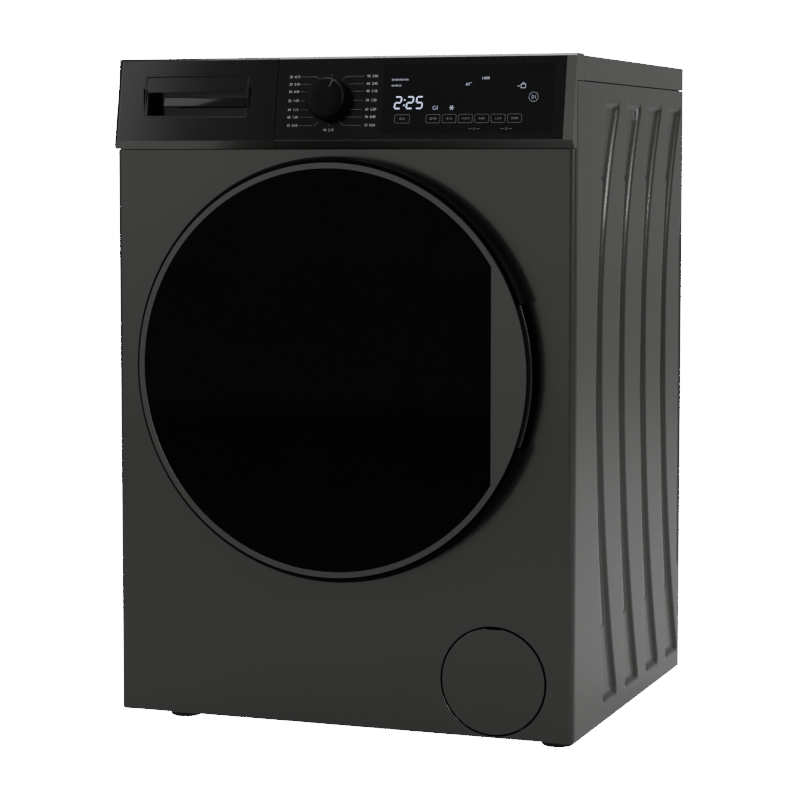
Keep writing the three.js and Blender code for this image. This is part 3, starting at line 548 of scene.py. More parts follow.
def letter(bm, words, x, z, size, align="CENTER"):
    """Printed figures, their middle line at height z."""
    curve = bpy.data.curves.new("figures", "FONT")
    curve.body = words
    curve.size = size
    curve.align_x = align
    curve.align_y = "CENTER"
    curve.resolution_u = 2
    holder = bpy.data.objects.new("figures", curve)
    scene.collection.objects.link(holder)
    flat = bpy.data.meshes.new_from_object(holder.evaluated_get(bpy.context.evaluated_depsgraph_get()))
    flat.transform(on_face(x, z, INK_PROUD))
    bm.from_mesh(flat)
    bpy.data.meshes.remove(flat)
    bpy.data.objects.remove(holder)
    bpy.data.curves.remove(curve)


def ring_mark(bm, x, z, radius, width, sides=40, start=0.0, sweep=360.0):
    """A printed ring or arc, its angles in degrees."""
    steps = max(3, int(sides * sweep / 360.0))
    turns = [math.radians(start + sweep * k / steps) for k in range(steps + 1)]
    stroke(bm, [(x + radius * math.cos(a), z + radius * math.sin(a)) for a in turns], width)


INK_PROUD = 0.06
KNOB = (-9.0, 791.0)
bm, figures = bmesh.new(), bmesh.new()
left_figures = ("20  0:15", "30  0:30", "30  0:45", "20  1:00", "40  1:15", "40  1:30", "15  0:10")
right_figures = ("90  2:50", "60  2:40", "40  3:10", "20  1:20", "60  2:20", "30  0:40", "15  0:20")
LEFT_END, RIGHT_END, LEAD, TICK = -48.5, 33.0, 0.28, 0.35
for z, left, right in zip((820, 811, 802, 791, 780, 771, 761), left_figures, right_figures):
    letter(figures, left, LEFT_END - 1.5, z, 4.3, "RIGHT")
    letter(figures, right, RIGHT_END + 18.0, z, 4.3, "RIGHT")
    drop = z - KNOB[1]
    for end, way in ((LEFT_END, -1), (RIGHT_END, 1)):
        if abs(drop) < 25:
            stroke(bm, [(end, z), (KNOB[0] + way * math.sqrt(29.5**2 - drop**2), z)], LEAD)
        else:
            stroke(bm, [(end, z), (KNOB[0] + way * 18.5, z),
                        (KNOB[0] + way * 14.0, z - math.copysign(4.5, drop))], LEAD)
for z0, z1 in ((820.5, 823), (762.0, 760.2)):
    stroke(bm, [(KNOB[0], z0), (KNOB[0], z1)], TICK)
letter(figures, "40  2:15", KNOB[0], 755.4, 4.3)
fit("dial_lines", bm, "cabinet", grey_ink)
fit("dial_figures", figures, "cabinet", white_ink)

display_blue = glow("display_blue", (0.6, 0.68, 1.0), 1.5)
display_dim = glow("display_dim", (0.62, 0.68, 0.85), 0.22)
SEGMENTS = {"2": "abged", "5": "afgcd"}
STROKES = {"a": ((0.0, 1.0), (1.0, 1.0)), "b": ((1.0, 1.0), (1.0, 0.5)), "c": ((1.0, 0.5), (1.0, 0.0)),
           "d": ((0.0, 0.0), (1.0, 0.0)), "e": ((0.0, 0.5), (0.0, 0.0)), "f": ((0.0, 1.0), (0.0, 0.5)),
           "g": ((0.0, 0.5), (1.0, 0.5))}
bm = bmesh.new()
DIGIT_FOOT, DIGIT_HIGH, DIGIT_WIDE, SLANT, DIGIT_STROKE = 780.8, 13.8, 7.6, 0.09, 1.35
for x, digit in ((74.2, "2"), (89.4, "2"), (101.4, "5")):
    for part in SEGMENTS[digit]:
        start, end = (Vector((x + DIGIT_WIDE * u + SLANT * DIGIT_HIGH * v, DIGIT_FOOT + DIGIT_HIGH * v))
                      for u, v in STROKES[part])
        gap = (end - start).normalized() * DIGIT_STROKE
        stroke(bm, [tuple(start + gap), tuple(end - gap)], DIGIT_STROKE)
for z in (784.6, 791.0):
    stroke(bm, [(85.9 + SLANT * (z - 780), z), (86.1 + SLANT * (z - 780), z)], 1.5)
fit("display_clock", bm, "cabinet", display_blue)

bm = bmesh.new()
letter(bm, "60", 165.5, 809.0, 4.9)
ring_mark(bm, 169.6, 810.8, 0.6, 0.3, 12)
letter(bm, "1400", 187.5, 816.0, 4.9)
letter(bm, "00 000 0000 000", 69.0, 815.2, 3.1, "LEFT")
letter(bm, "00 000 00", 69.0, 808.2, 3.1, "LEFT")
stroke(bm, [(232.0, 804.0), (237.5, 804.0), (237.5, 808.6), (232.0, 808.6)], 0.6, closed=True)
ring_mark(bm, 234.75, 808.8, 1.5, 0.5, 20, 0.0, 180.0)
stroke(bm, [(228.0, 806.3), (230.0, 806.3)], 0.7)
ring_mark(bm, 248.0, 793.4, 5.6, 0.26, 44)
stroke(bm, [(246.2, 791.0), (246.2, 795.8), (249.0, 793.4)], 0.3, closed=True)
stroke(bm, [(250.6, 791.4), (250.6, 795.4)], 0.3)
ring_mark(bm, 125.4, 781.2, 2.0, 0.6, 24, 60.0, 300.0)
stroke(bm, [(129.0, 779.6), (129.0, 783.4)], 0.6)
for turn in range(6):
    a = math.radians(60.0 * turn)
    stroke(bm, [(147.0 + 0.7 * math.cos(a), 781.2 + 0.7 * math.sin(a)),
                (147.0 + 2.6 * math.cos(a), 781.2 + 2.6 * math.sin(a))], 0.8)
fit("display_icons", bm, "cabinet", display_dim)

bm = bmesh.new()
KEY_LOW, KEY_HIGH, KEY_ROUND = 763.4, 773.4, 1.2
keys = [(75.5, 94.5)] + [(115.6 + 20.35 * k, 133.0 + 20.35 * k) for k in range(6)]
key_figures = ("0-24", "20-90", "4-14", "1+2+3", "0-60", "1-2-3", "24:00")
r = KEY_ROUND
for words, (xa, xb) in zip(key_figures, keys):
    stroke(bm, [(xa + r, KEY_LOW), (xb - r, KEY_LOW), (xb, KEY_LOW + r), (xb, KEY_HIGH - r),
                (xb - r, KEY_HIGH), (xa + r, KEY_HIGH), (xa, KEY_HIGH - r), (xa, KEY_LOW + r)],
           0.3, closed=True)
    letter(bm, words, (xa + xb) / 2, (KEY_LOW + KEY_HIGH) / 2, 3.9)
for x in (176.5, 216.5):
    stroke(bm, [(x - 7.0, 756.2), (x - 2.6, 756.2)], TICK)
    stroke(bm, [(x + 2.6, 756.2), (x + 7.0, 756.2)], TICK)
    ring_mark(bm, x, 756.2, 1.1, 0.45, 16)
fit("key_outlines", bm, "cabinet", grey_ink)

# ---------------------------------------------------------------------------
# Programme knob: a turned cap in matte black with a finely fluted side and
# one grey pointer line near its edge. It turns on the selector switch.
# ---------------------------------------------------------------------------
knob_black = surface("knob_black", (0.003, 0.003, 0.0031), roughness=0.42, drift=0.2, drift_size=14.0,
                     rough_drift=0.07, grain=0.05, grain_size=0.5, specular=0.1)
KNOB_HIGH, FLUTES, FLUTE_DEEP = 21.0, 96, 0.38
bm = turned([(0, -9.9), (3, -9.9), (3, 0.7), (25.7, 0.7), (26.0, 1.3), (26.0, 6.5), (25.9, 11.0),
             (25.5, 16.0), (24.6, 18.7), (23.0, 20.2), (20.4, 20.9), (12.0, 21.0), (0, 21.0)],
            FLUTES * 2, closed=False)
for v in bm.verts:
    far = math.hypot(v.co.x, v.co.z)
    if far > 25.0 and v.co.y < 18.0:
        tooth = int(round(math.atan2(v.co.z, v.co.x) / (math.pi / FLUTES))) % 2
        pull = 1.0 - (FLUTE_DEEP if tooth else 0.0) / far
        v.co.x, v.co.z = v.co.x * pull, v.co.z * pull
turn_about(bm, "X", 90)
bmesh.ops.transform(bm, matrix=on_face(*KNOB), verts=bm.verts)
bmesh.ops.recalc_face_normals(bm, faces=bm.faces)
fit("knob_cap", bm, "knob", knob_black, "program_knob", crease=22.0)
bm = block(-0.28, 0.28, 14.0, 23.0, -0.3, 0.1)
soften(bm, 0.1, 1)
lift = Matrix.Translation((0.0, 0.0, KNOB_HIGH)) @ Matrix.Rotation(math.radians(-25), 4, "Z")
bmesh.ops.transform(bm, matrix=on_face(*KNOB) @ lift, verts=bm.verts)
fit("knob_pointer", bm, "knob", grey_ink)
# ---------------------------------------------------------------------------
# Detergent drawer: a glossy black front with a deep finger pocket under a
# grip bar, and behind it a white tray with three bays and a siphon lid.
# ---------------------------------------------------------------------------
matt_black = surface("matt_black", (0.012, 0.012, 0.0125), roughness=0.4, drift=0.2, drift_size=25.0,
                     rough_drift=0.06, grain=0.03, grain_size=0.6, specular=0.45)
white_moulding = surface("white_moulding", (0.74, 0.74, 0.72), roughness=0.38, drift=0.04,
                         drift_size=40.0, rough_drift=0.05, grain=0.02, grain_size=1.0)
grey_moulding = surface("grey_moulding", (0.42, 0.43, 0.44), roughness=0.45, drift=0.06,
                        drift_size=50.0, rough_drift=0.06, grain=0.03, grain_size=1.2)
low, high = box_mm("drawer_front")
POCKET_X, POCKET_Z, FACE_MID_Z = (-254.0, -120.0), (774.0, 803.0), 790.0


def prism_x(outline, x0, x1):
    """A (y, z) outline drawn out along X."""
    bm = bmesh.new()
    return drawn_out(bm, [bm.faces.new([bm.verts.new((x0, y, z)) for y, z in outline])], x=x1 - x0)


def rounded_end(x0, x1):
    """Two blocks that keep the front's left end rounded at its upright edge and top corner."""
    upright = block(x0, x1 + 10, -130, 130, -60, 0.02)
    soften(upright, 9.0, 10, angle=60.0, chosen=lambda e: max(v.co.x for v in e.verts) < x0 + 0.01
           and min(v.co.z for v in e.verts) > 0)
    bmesh.ops.transform(upright, matrix=on_face(0.0, FACE_MID_Z), verts=upright.verts)
    corner = block(x0, x1 + 10, -300, -200, 700, high.z)
    soften(corner, 10.0, 8, angle=60.0, chosen=lambda e: max(v.co.x for v in e.verts) < x0 + 0.01
           and min(v.co.z for v in e.verts) > high.z - 0.01)
    return upright, corner


face_top_z = FACE_FOOT_Z + FACE_TALL
face_top = depth_at(face_top_z)
bm = prism_x([(low.y + 9.0, low.z), (low.y, FACE_FOOT_Z), (face_top, face_top_z), (face_top + 4.0, high.z),
              (-234.4, high.z), (-237.6, 812.6), (-237.6, low.z)], low.x, high.x)
bm = carved(bm, *rounded_end(low.x, high.x), how="INTERSECT")
hollow = prism_x([(-244, low.z + 2.5), (low.y + 4.0, 746.5), (-241, 812), (-230, 812),
                  (-230, low.z + 2.5)], low.x + 3, high.x - 3)
soften(hollow, 8.0, 10, angle=60.0, chosen=lambda e: max(v.co.x for v in e.verts) < low.x + 3.05
       and max(v.co.y for v in e.verts) < -238.0 and abs(e.verts[0].co.z - e.verts[1].co.z) > 3)
bm = carved(carved(bm, hollow), block(-258, -116, -250.4, -221.5, 771, 807), how="UNION")
recess = block(POCKET_X[0] - 3.5, POCKET_X[1] + 1.2, POCKET_Z[0] - 2.5, 823.0, -1.7, 9.0)
shift(recess, y=-FACE_MID_Z)
soften(recess, 2.4, 4, angle=60.0, chosen=lambda e: abs(e.verts[0].co.z - e.verts[1].co.z) > 1)
soften(recess, 1.2, 3, angle=60.0, chosen=lambda e: max(v.co.z for v in e.verts) < -1.6)
bmesh.ops.transform(recess, matrix=on_face(0.0, FACE_MID_Z), verts=recess.verts)
mouth = block(POCKET_X[0], POCKET_X[1], -270, -224, POCKET_Z[0], POCKET_Z[1])
soften(mouth, 2.0, 4, angle=60.0, chosen=lambda e: abs(e.verts[0].co.y - e.verts[1].co.y) > 1)
bm = carved(bm, recess, mouth)
soften(bm, 0.8, 3, angle=32.0)
bm.normal_update()
for face in bm.faces:
    spot = face.calc_center_median()
    face.material_index = 1 if spot.z < 743.2 and spot.y < -238.5 else 0
fit("drawer_face", bm, "drawer", [piano_black, silver_moulding], "drawer_front",
    weighted=True)
bm = block(POCKET_X[0] + 21, POCKET_X[1] - 0.6, -247.5, -243.5, 784.5, 797.0)
turn_about(bm, "X", -16, (0, -245, 784.5))
soften(bm, 1.2, 3)
fit("grip_ledge", bm, "drawer", piano_black)
siphon_blue = surface("siphon_blue", (0.12, 0.3, 0.55), roughness=0.35, drift=0.05, drift_size=20.0,
                      grain=0.02, grain_size=0.8)
for row in (("detergent_tray", "drawer_tray", "drawer", white_moulding, "white_plastic", 0.8, 3),
            ("siphon_lid", "siphon_cap", "drawer", siphon_blue, "white_plastic", 0.8, 3),
            ("dispenser_box", "dispenser_housing", "cabinet", grey_moulding, "tub_plastic", 1.2, 3),
            ("control_board_case", "control_board", "cabinet", white_moulding, "white_plastic", 0.6),
            ("selector_body", "selector_switch", "cabinet", white_moulding, "white_plastic", 0.4)):
    dressed(*row)

# ---------------------------------------------------------------------------
# Door: a satin ring round a sheet of black glass with one straight edge, a
# deep black frame behind them, and a clear glass bowl that faces the drum.
# ---------------------------------------------------------------------------
def glass_prism(radius, straight_x, corner, y0, y1, segments=200):
    """A disc with one side cut straight and its two corners rounded, as a prism along Y."""
    bm = bmesh.new()
    bmesh.ops.create_circle(bm, cap_ends=True, segments=segments, radius=radius)
    turn_about(bm, "X", 90)
    bmesh.ops.bisect_plane(bm, geom=bm.verts[:] + bm.edges[:] + bm.faces[:], dist=1e-4,
                           plane_co=(straight_x, 0, 0), plane_no=(1, 0, 0), clear_outer=True)
    cx = straight_x - corner
    cz = math.sqrt((radius - corner) ** 2 - cx**2)
    start = math.atan2(cz, cx)
    reach = Vector((math.cos(start), math.sin(start))) * radius
    ends = [v for v in bm.verts if v.co.x > reach.x + 0.01 and abs(v.co.z) > cz + 0.01]
    for up in (1, -1):
        side = sorted((v for v in ends if v.co.z * up > 0), key=lambda v: -v.co.x)
        for v in side:
            turn = max(0.0, min(start, start * (reach.x - v.co.x) / (reach.x - straight_x) + start))
            v.co.x, v.co.z = cx + corner * math.cos(turn), up * (cz + corner * math.sin(turn))
    bmesh.ops.remove_doubles(bm, verts=bm.verts, dist=0.05)
    shift(bm, y=y0, z=DOOR_Z)
    return drawn_out(bm, bm.faces[:], y=y1 - y0)


door_black = surface("door_black", (0.002, 0.002, 0.0021), roughness=0.5, drift=0.1, drift_size=40.0,
                     rough_drift=0.04, grain=0.02, grain_size=0.8, specular=0.06)
satin_ring = surface("satin_ring", (0.078, 0.0775, 0.073), metallic=0.8, roughness=0.3, drift=0.03,
                     drift_size=80.0, rough_drift=0.03, grain=0.008, grain_size=0.9, coat=0.3)
clear_glass = surface("clear_glass", (0.93, 0.95, 0.95), roughness=0.04, drift=0.01, drift_size=60.0,
                      rough_drift=0.01, grain=0.004, grain_size=20.0)
put(clear_glass.node_tree.nodes["Principled BSDF"], {"Transmission Weight": 1.0, "IOR": 1.5})
black_glass = surface("black_glass", (0.0012, 0.0012, 0.0014), roughness=0.05, drift=0.2, drift_size=90.0,
                      rough_drift=0.01, grain=0.001, grain_size=30.0, specular=0.05)
low, high = box_mm("door_rim")
bm = turned([(0, low.y), (251.2, low.y), (252.0, low.y + 0.8), (252.0, high.y), (0, high.y)], 200,
            (0, DOOR_Z), closed=False)
bm = carved(bm, glass_prism(244.0, 210.0, 20.0, low.y - 5, high.y + 5))
soften(bm, 0.7, 3, angle=50.0)
bm.normal_update()
for face in bm.faces:
    rim = face.calc_center_median() - Vector((0, 0, DOOR_Z))
    face.material_index = 1 if rim.y > low.y + 0.15 and math.hypot(rim.x, rim.z) > 251.3 else 0
fit("door_ring", bm, "door", [satin_ring, door_black], "door_rim", weighted=True)
low, high = box_mm("door_panel")
bm = glass_prism(243.6, 209.6, 19.6, low.y, high.y)
soften(bm, 0.9, 3, angle=50.0)
fit("door_glass", bm, "door", black_glass, "door_panel", weighted=True)


def depth_of(d):
    """Y at a depth behind the front panel."""
    return FRONT_Y + d


def behind(*outline, **how):
    """Turns a (radius, depth behind the front panel) outline about the door's middle line."""
    return turned([(r, depth_of(d)) for r, d in outline], **{"centre": (0, DOOR_Z), **how})


bm = behind((246, -2), (247.3, -2.4), (258.2, -23.6), (258.6, -25.2), (256.9, -30.0), (256.2, -30.7),
            (253, -30.7), (255, -25), (243.5, -5), (170, -5), (170, -30.7), (166.8, -30.7),
            (166.8, -5), (163, -5), (163, -2), segments=200)
for v in bm.verts:
    far = math.hypot(v.co.x, v.co.z - DOOR_Z)
    past_face = v.co.y - depth_of(-23.6)
    if far > 245.9 and past_face > 1.0 and v.co.y > depth_of(-3.0):
        fuller = 1.0 + ease((v.co.x + 60.0) / 120.0) * (257.0 / far - 1.0)
        v.co.x, v.co.z = v.co.x * fuller, DOOR_Z + (v.co.z - DOOR_Z) * fuller
bm = carved(bm, block(-270, -196, depth_of(-29), depth_of(10), 400, 530),
            block(221, 270, depth_of(-31), depth_of(-8), 379.2, 550.8),
            block(201, 220, depth_of(-10), depth_of(5), 444, 486))
soften(bm, 0.45, 2, angle=40.0)
fit("door_frame", bm, "door", door_black, "door_back_frame", weighted=True)
bm = soften(copied("handle_lever"), 0.5, 3)
fit("grip_lever", bm, "handle", satin_ring, "handle_lever", weighted=True)
bm = soften(copied("latch_hook"), 0.7, 3)
fit("door_hook", bm, "hook", white_moulding, "latch_hook", weighted=True)
bm = soften(copied("door_lock"), 1.0, 3)
fit("lock_case", bm, "cabinet", white_moulding, "door_lock", weighted=True)
for node, body, piece in (("door_hinge", "cabinet", "hinge_plate"), ("hinge_leaf", "door", "hinge_wing")):
    fit(piece, soften(copied(node), 0.6, 2), body, zinc_plate, node, weighted=True)
bright_steel = surface("bright_steel", (0.62, 0.62, 0.61), metallic=1.0, roughness=0.22, drift=0.04,
                       drift_size=18.0, rough_drift=0.06, grain=0.004, grain_size=0.6)
fit("hinge_bolt", soften(copied("hinge_pin"), 0.4, 2), "cabinet", bright_steel, "hinge_pin",
    weighted=True)

bm = behind((112, 105), (118.5, 103.8), (122.6, 100.8), (125.0, 96.0), (160.0, -5.0), (165.6, -5.3),
            (165.6, -9.5), (157.0, -9.5), (156.0, -9.2), (119.0, 94.0), (114.5, 99.2), (108, 101),
            (0, 101), (0, 105), segments=160, closed=False)
fit("bowl", bm, "door", clear_glass, "door_bowl", crease=50.0)
# ---------------------------------------------------------------------------
# Door gasket: a moulded grey rubber bellows between the cabinet and the tub.
# It is fixed to neither body.
# ---------------------------------------------------------------------------
grey_rubber = surface("grey_rubber", (0.19, 0.195, 0.2), roughness=0.6, drift=0.08, drift_size=35.0,
                      rough_drift=0.08, grain=0.05, grain_size=0.9, specular=0.35)
bm = behind((184.5, -0.6), (182.5, -1.2), (172.0, -1.0), (166.0, 1.5), (162.0, 6.0), (161.0, 10.0),
            (162.2, 14.0), (168.0, 17.5), (176.0, 20.0), (178.2, 23.5), (176.0, 27.0), (170.0, 30.0),
            (167.5, 34.5), (169.5, 40.0), (174.5, 43.5), (176.3, 49.0), (176.2, 63.5), (178.7, 63.5),
            (178.8, 48.5), (176.6, 41.8), (172.2, 38.2), (170.8, 34.5), (172.4, 32.2), (178.0, 29.2),
            (181.2, 23.5), (178.0, 17.8), (170.0, 15.0), (165.0, 12.0), (164.0, 9.5), (165.4, 7.4),
            (168.4, 4.6), (173.0, 2.4), (180.0, 2.6), (184.8, 2.6), (185.0, 0.6), segments=176)
gasket = fit("gasket", bm, "cabinet", grey_rubber, crease=60.0)
gasket.parent = None
del gasket["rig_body"]
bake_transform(gasket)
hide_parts("door_gasket")

# ---------------------------------------------------------------------------
# Tub: two grey polypropylene halves with moulded ribs, screwed together at
# a flange, with a concrete weight on top and a heater in its sump.
# ---------------------------------------------------------------------------
tub_grey = surface("tub_grey", (0.46, 0.47, 0.48), roughness=0.5, drift=0.06, drift_size=45.0,
                   rough_drift=0.06, grain=0.05, grain_size=1.6)
for node, piece in (("tub_front", "tub_front_half"), ("tub_rear", "tub_rear_half")):
    fit(piece, soften(copied(node), 1.4, 2), "tub", tub_grey, node, weighted=True)
ribs = bmesh.new()
for k in range(20):
    turn = 2 * math.pi * (k + 0.5) / 20
    if abs(math.sin(turn)) > 0.93 or abs(math.cos(turn)) > 0.99:
        continue
    rib = block(-1.4, 1.4, depth_of(233.5), depth_of(400), 256.0, 262.5)
    soften(rib, 0.6, 2)
    bmesh.ops.rotate(rib, cent=(0, 0, 0), matrix=Matrix.Rotation(turn, 3, "Y"), verts=rib.verts)
    bmesh.ops.translate(rib, vec=(0, 0, DOOR_Z), verts=rib.verts)
    join(ribs, rib)
fit("tub_ribs", ribs, "tub", tub_grey)
bolts = bmesh.new()
for k in range(16):
    turn = 2 * math.pi * (k + 0.25) / 16
    bolt = bmesh.new()
    bmesh.ops.create_cone(bolt, cap_ends=True, segments=6, radius1=3.6, radius2=3.6, depth=3.4)
    soften(bolt, 0.4, 1)
    bmesh.ops.rotate(bolt, cent=(0, 0, 0), matrix=Matrix.Rotation(math.radians(90), 3, "X"), verts=bolt.verts)
    bmesh.ops.translate(bolt, vec=(261.8 * math.cos(turn), depth_of(216.5), DOOR_Z + 261.8 * math.sin(turn)),
                        verts=bolt.verts)
    join(bolts, bolt)
fit("tub_screws", bolts, "tub", zinc_plate)
concrete_grey = surface("concrete_grey", (0.5, 0.49, 0.46), roughness=0.88, drift=0.25, drift_size=9.0,
                        rough_drift=0.08, grain=0.5, grain_size=2.5, specular=0.25)
fit("weight_block", soften(copied("counterweight"), 3.0, 3), "tub", concrete_grey,
    "counterweight", weighted=True)
fit("heater_loop", soften(copied("water_heater"), 0.5, 2), "tub", bright_steel,
    "water_heater", weighted=True)
for node, piece in (("bearing_front", "ball_bearing_front"), ("bearing_rear", "ball_bearing_rear")):
    fit(piece, soften(copied(node), 0.5, 2), "tub", bright_steel, node, weighted=True)

# ---------------------------------------------------------------------------
# Drum: a perforated stainless sheet rolled into a cylinder, with a pressed
# front ring and back, three lifters inside and a cast spider behind it.
# ---------------------------------------------------------------------------
drum_steel = surface("drum_steel", (0.6, 0.6, 0.59), metallic=1.0, roughness=0.26, drift=0.035,
                     drift_size=30.0, rough_drift=0.05, grain=0.005, grain_size=0.9,
                     stretch=(1.0, 0.3, 1.0))
ACROSS, ROWS, HOLE_R = 96, 17, 2.0
cell_wide, cell_deep = 2 * math.pi * 242.6 / ACROSS, 15.6
cell = bmesh.new()
octagon = [math.radians(22.5 + 45 * k) for k in range(8)]
hole = [cell.verts.new((HOLE_R * math.cos(a), HOLE_R * math.sin(a), 0)) for a in octagon]
frame_points = [(0.5, 0.0), (0.5, 0.5), (0.0, 0.5), (-0.5, 0.5), (-0.5, 0.0), (-0.5, -0.5), (0.0, -0.5),
                (0.5, -0.5)]
edge_ring = [cell.verts.new((cell_wide * u, cell_deep * v, 0)) for u, v in frame_points]
for k in range(8):
    cell.edges.new((hole[k], hole[(k + 1) % 8]))
    cell.edges.new((edge_ring[k], edge_ring[(k + 1) % 8]))
bmesh.ops.bridge_loops(cell, edges=cell.edges[:])
tile = bpy.data.meshes.new("tile")
cell.to_mesh(tile)
cell.free()
WALL_START, WALL_R = 96.0, 242.6
bm = bmesh.new()
for row in range(ROWS):
    before = len(bm.verts)
    bm.from_mesh(tile)
    bm.verts.ensure_lookup_table()
    bmesh.ops.translate(bm, vec=(0, (row + 0.5) * cell_deep, 0), verts=bm.verts[before:])
bpy.data.meshes.remove(tile)
for v in bm.verts:
    turn = v.co.x / WALL_R
    v.co = (WALL_R * math.cos(turn), depth_of(WALL_START + v.co.y), DOOR_Z + WALL_R * math.sin(turn))
bmesh.ops.spin(bm, geom=bm.verts[:] + bm.edges[:] + bm.faces[:], cent=(0, 0, DOOR_Z), axis=(0, 1, 0),
               angle=2 * math.pi * (ACROSS - 1) / ACROSS, steps=ACROSS - 1, use_duplicate=True)
bmesh.ops.remove_doubles(bm, verts=bm.verts, dist=0.02)
bmesh.ops.recalc_face_normals(bm, faces=bm.faces)
wall = fit("drum_wall", bm, "drum", drum_steel, crease=80.0)
thicken(wall, 0.0008)

WALL_END = WALL_START + ROWS * 15.6
bm = behind((242.6, WALL_START), (242.6, 88), (240.0, 82.5), (235.0, 79.0), (228.0, 77.5),
            (200.0, 77.5), (190.0, 78.5), (182.0, 81.0), (176.5, 84.5), (173.5, 86.0), (172.0, 84.5),
            (172.6, 80.5), (175.5, 77.0), (182.0, 76.2), (230.0, 76.2), (238.0, 78.5), (242.0, 83.5),
            (243.0, 88.5), (243.0, WALL_START), segments=180)
fit("drum_mouth", bm, "drum", drum_steel, "drum_shell", crease=45.0)
bm = behind((0, 371), (52, 371), (60, 373.5), (72, 379), (200, 380), (226, 377), (236, 370),
            (241.4, WALL_END), (243.0, WALL_END), (243.0, 380.5), (240, 384), (228, 384), (200, 383.5),
            (72, 383), (58, 378), (50, 374.5), (0, 374.5), segments=180, closed=False)
for v in bm.verts:
    far = math.hypot(v.co.x, v.co.z - DOOR_Z)
    if 60 < far < 232:
        turn = math.atan2(v.co.z - DOOR_Z, v.co.x)
        v.co.y -= 2.6 * (0.5 + 0.5 * math.cos(6 * turn)) * (1.0 if v.co.y < depth_of(382) else 0.6)
fit("drum_back", bm, "drum", drum_steel, crease=45.0)
for number in (1, 2, 3):
    fit(f"lifter_{number}", soften(copied(f"drum_lifter_{number}"), 3.0, 3), "drum", grey_moulding,
        f"drum_lifter_{number}", weighted=True)
cast_alloy = surface("cast_alloy", (0.5, 0.5, 0.49), metallic=1.0, roughness=0.5, drift=0.12,
                     drift_size=12.0, rough_drift=0.1, grain=0.08, grain_size=1.6)
fit("spider_and_shaft", soften(copied("drum_spider"), 1.2, 2), "drum", cast_alloy, "drum_spider",
    weighted=True)
fit("belt_wheel", soften(copied("drum_pulley"), 1.0, 2), "drum", cast_alloy, "drum_pulley",
    weighted=True)

# ---------------------------------------------------------------------------
# Drive: a motor under the tub turns the drum through a ribbed belt, and the
# tub hangs on two coil springs and stands on two friction dampers.
# ---------------------------------------------------------------------------
belt_black = surface("belt_black", (0.02, 0.02, 0.02), roughness=0.65, drift=0.15, drift_size=8.0,
                     grain=0.1, grain_size=1.4)
fit("ribbed_belt", soften(copied("drive_belt"), 0.6, 2), "tub", belt_black, "drive_belt",
    weighted=True)
fit("motor_case", soften(copied("drive_motor"), 1.2, 2), "tub", cast_alloy, "drive_motor",
    weighted=True)
fit("motor_core", soften(copied("motor_rotor"), 0.6, 2), "rotor", bright_steel, "motor_rotor",
    weighted=True)
for side, name in ((1, "right"), (-1, "left")):
    bm = soften(copied("damper_cylinder_" + name), 1.0, 2)
    fit("damper_tube_" + name, bm, "cabinet", matt_black, "damper_cylinder_" + name,
        weighted=True)
    bm = soften(copied("damper_rod_" + name), 0.8, 2)
    fit("damper_rod_" + name + "_bar", bm, "tub", white_moulding, "damper_rod_" + name,
        weighted=True)
    low, high = box_mm("suspension_spring_" + name)
    middle = (low + high) / 2
    turns, wire, coil_r = 15, 1.6, (high.x - low.x) / 2 - 1.6
    bm = bmesh.new()
    made = bmesh.ops.create_circle(bm, cap_ends=False, segments=10, radius=wire)["verts"]
    bmesh.ops.rotate(bm, cent=(0, 0, 0), matrix=Matrix.Rotation(math.radians(90), 3, "X"), verts=made)
    bmesh.ops.translate(bm, vec=(coil_r, 0, 0), verts=made)
    start, stop = low.z + 22, high.z - 22
    bmesh.ops.spin(bm, geom=bm.verts[:] + bm.edges[:], cent=(0, 0, 0), axis=(0, 0, 1),
                   dvec=(0, 0, (stop - start) / (turns * 24)), angle=2 * math.pi * turns, steps=turns * 24,
                   use_merge=False)
    ends = [e for e in bm.edges if len(e.link_faces) == 1]
    bmesh.ops.holes_fill(bm, edges=ends, sides=12)
    bmesh.ops.recalc_face_normals(bm, faces=bm.faces)
    bmesh.ops.translate(bm, vec=(middle.x, middle.y, start), verts=bm.verts)
    for z in (start - 10, stop + 10):
        loop = bmesh.new()
        made = bmesh.ops.create_circle(loop, cap_ends=False, segments=10, radius=wire)["verts"]
        bmesh.ops.translate(loop, vec=(9.5, 0, 0), verts=made)
        bmesh.ops.spin(loop, geom=loop.verts[:] + loop.edges[:], cent=(0, 0, 0), axis=(0, 1, 0),
                       angle=2 * math.pi, steps=32, use_merge=True)
        bmesh.ops.recalc_face_normals(loop, faces=loop.faces)
        bmesh.ops.translate(loop, vec=(middle.x, middle.y, z), verts=loop.verts)
        join(bm, loop)
    spring = fit("spring_" + name, bm, "cabinet", bright_steel, crease=60.0)
    spring.parent = None
    del spring["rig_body"]
    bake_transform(spring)
    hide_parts("suspension_spring_" + name)
# ---------------------------------------------------------------------------
# Rear: a zinc plated sheet with pressed ribs, and over its service opening
# a ribbed belt cover held by screws. The water and power fittings are here.
# ---------------------------------------------------------------------------
def pressed_sheet(low, high, y, toward, hollow, step=5.0):
    """A sheet square to Y, pressed by hollow(x, z) millimetres along toward."""
    bm = bmesh.new()
    bmesh.ops.create_grid(bm, x_segments=int((high.x - low.x) / step), y_segments=int((high.z - low.z) / step),
                          size=0.5)
    for v in bm.verts:
        x = (low.x + high.x) / 2 + v.co.x * (high.x - low.x)
        z = (low.z + high.z) / 2 + v.co.y * (high.z - low.z)
        v.co = (x, y + toward * hollow(x, z), z)
    bmesh.ops.recalc_face_normals(bm, faces=bm.faces)
    if bm.faces[:][0].normal.y < 0:
        bmesh.ops.reverse_faces(bm, faces=bm.faces)
    return bm


def long_rib(x, z, x0, x1, z0, z1, deep, wall=7.0):
    """A pressed rib with rounded ends between those limits."""
    inside = min(x - x0, x1 - x, z - z0, z1 - z)
    return deep * ease(inside / wall)


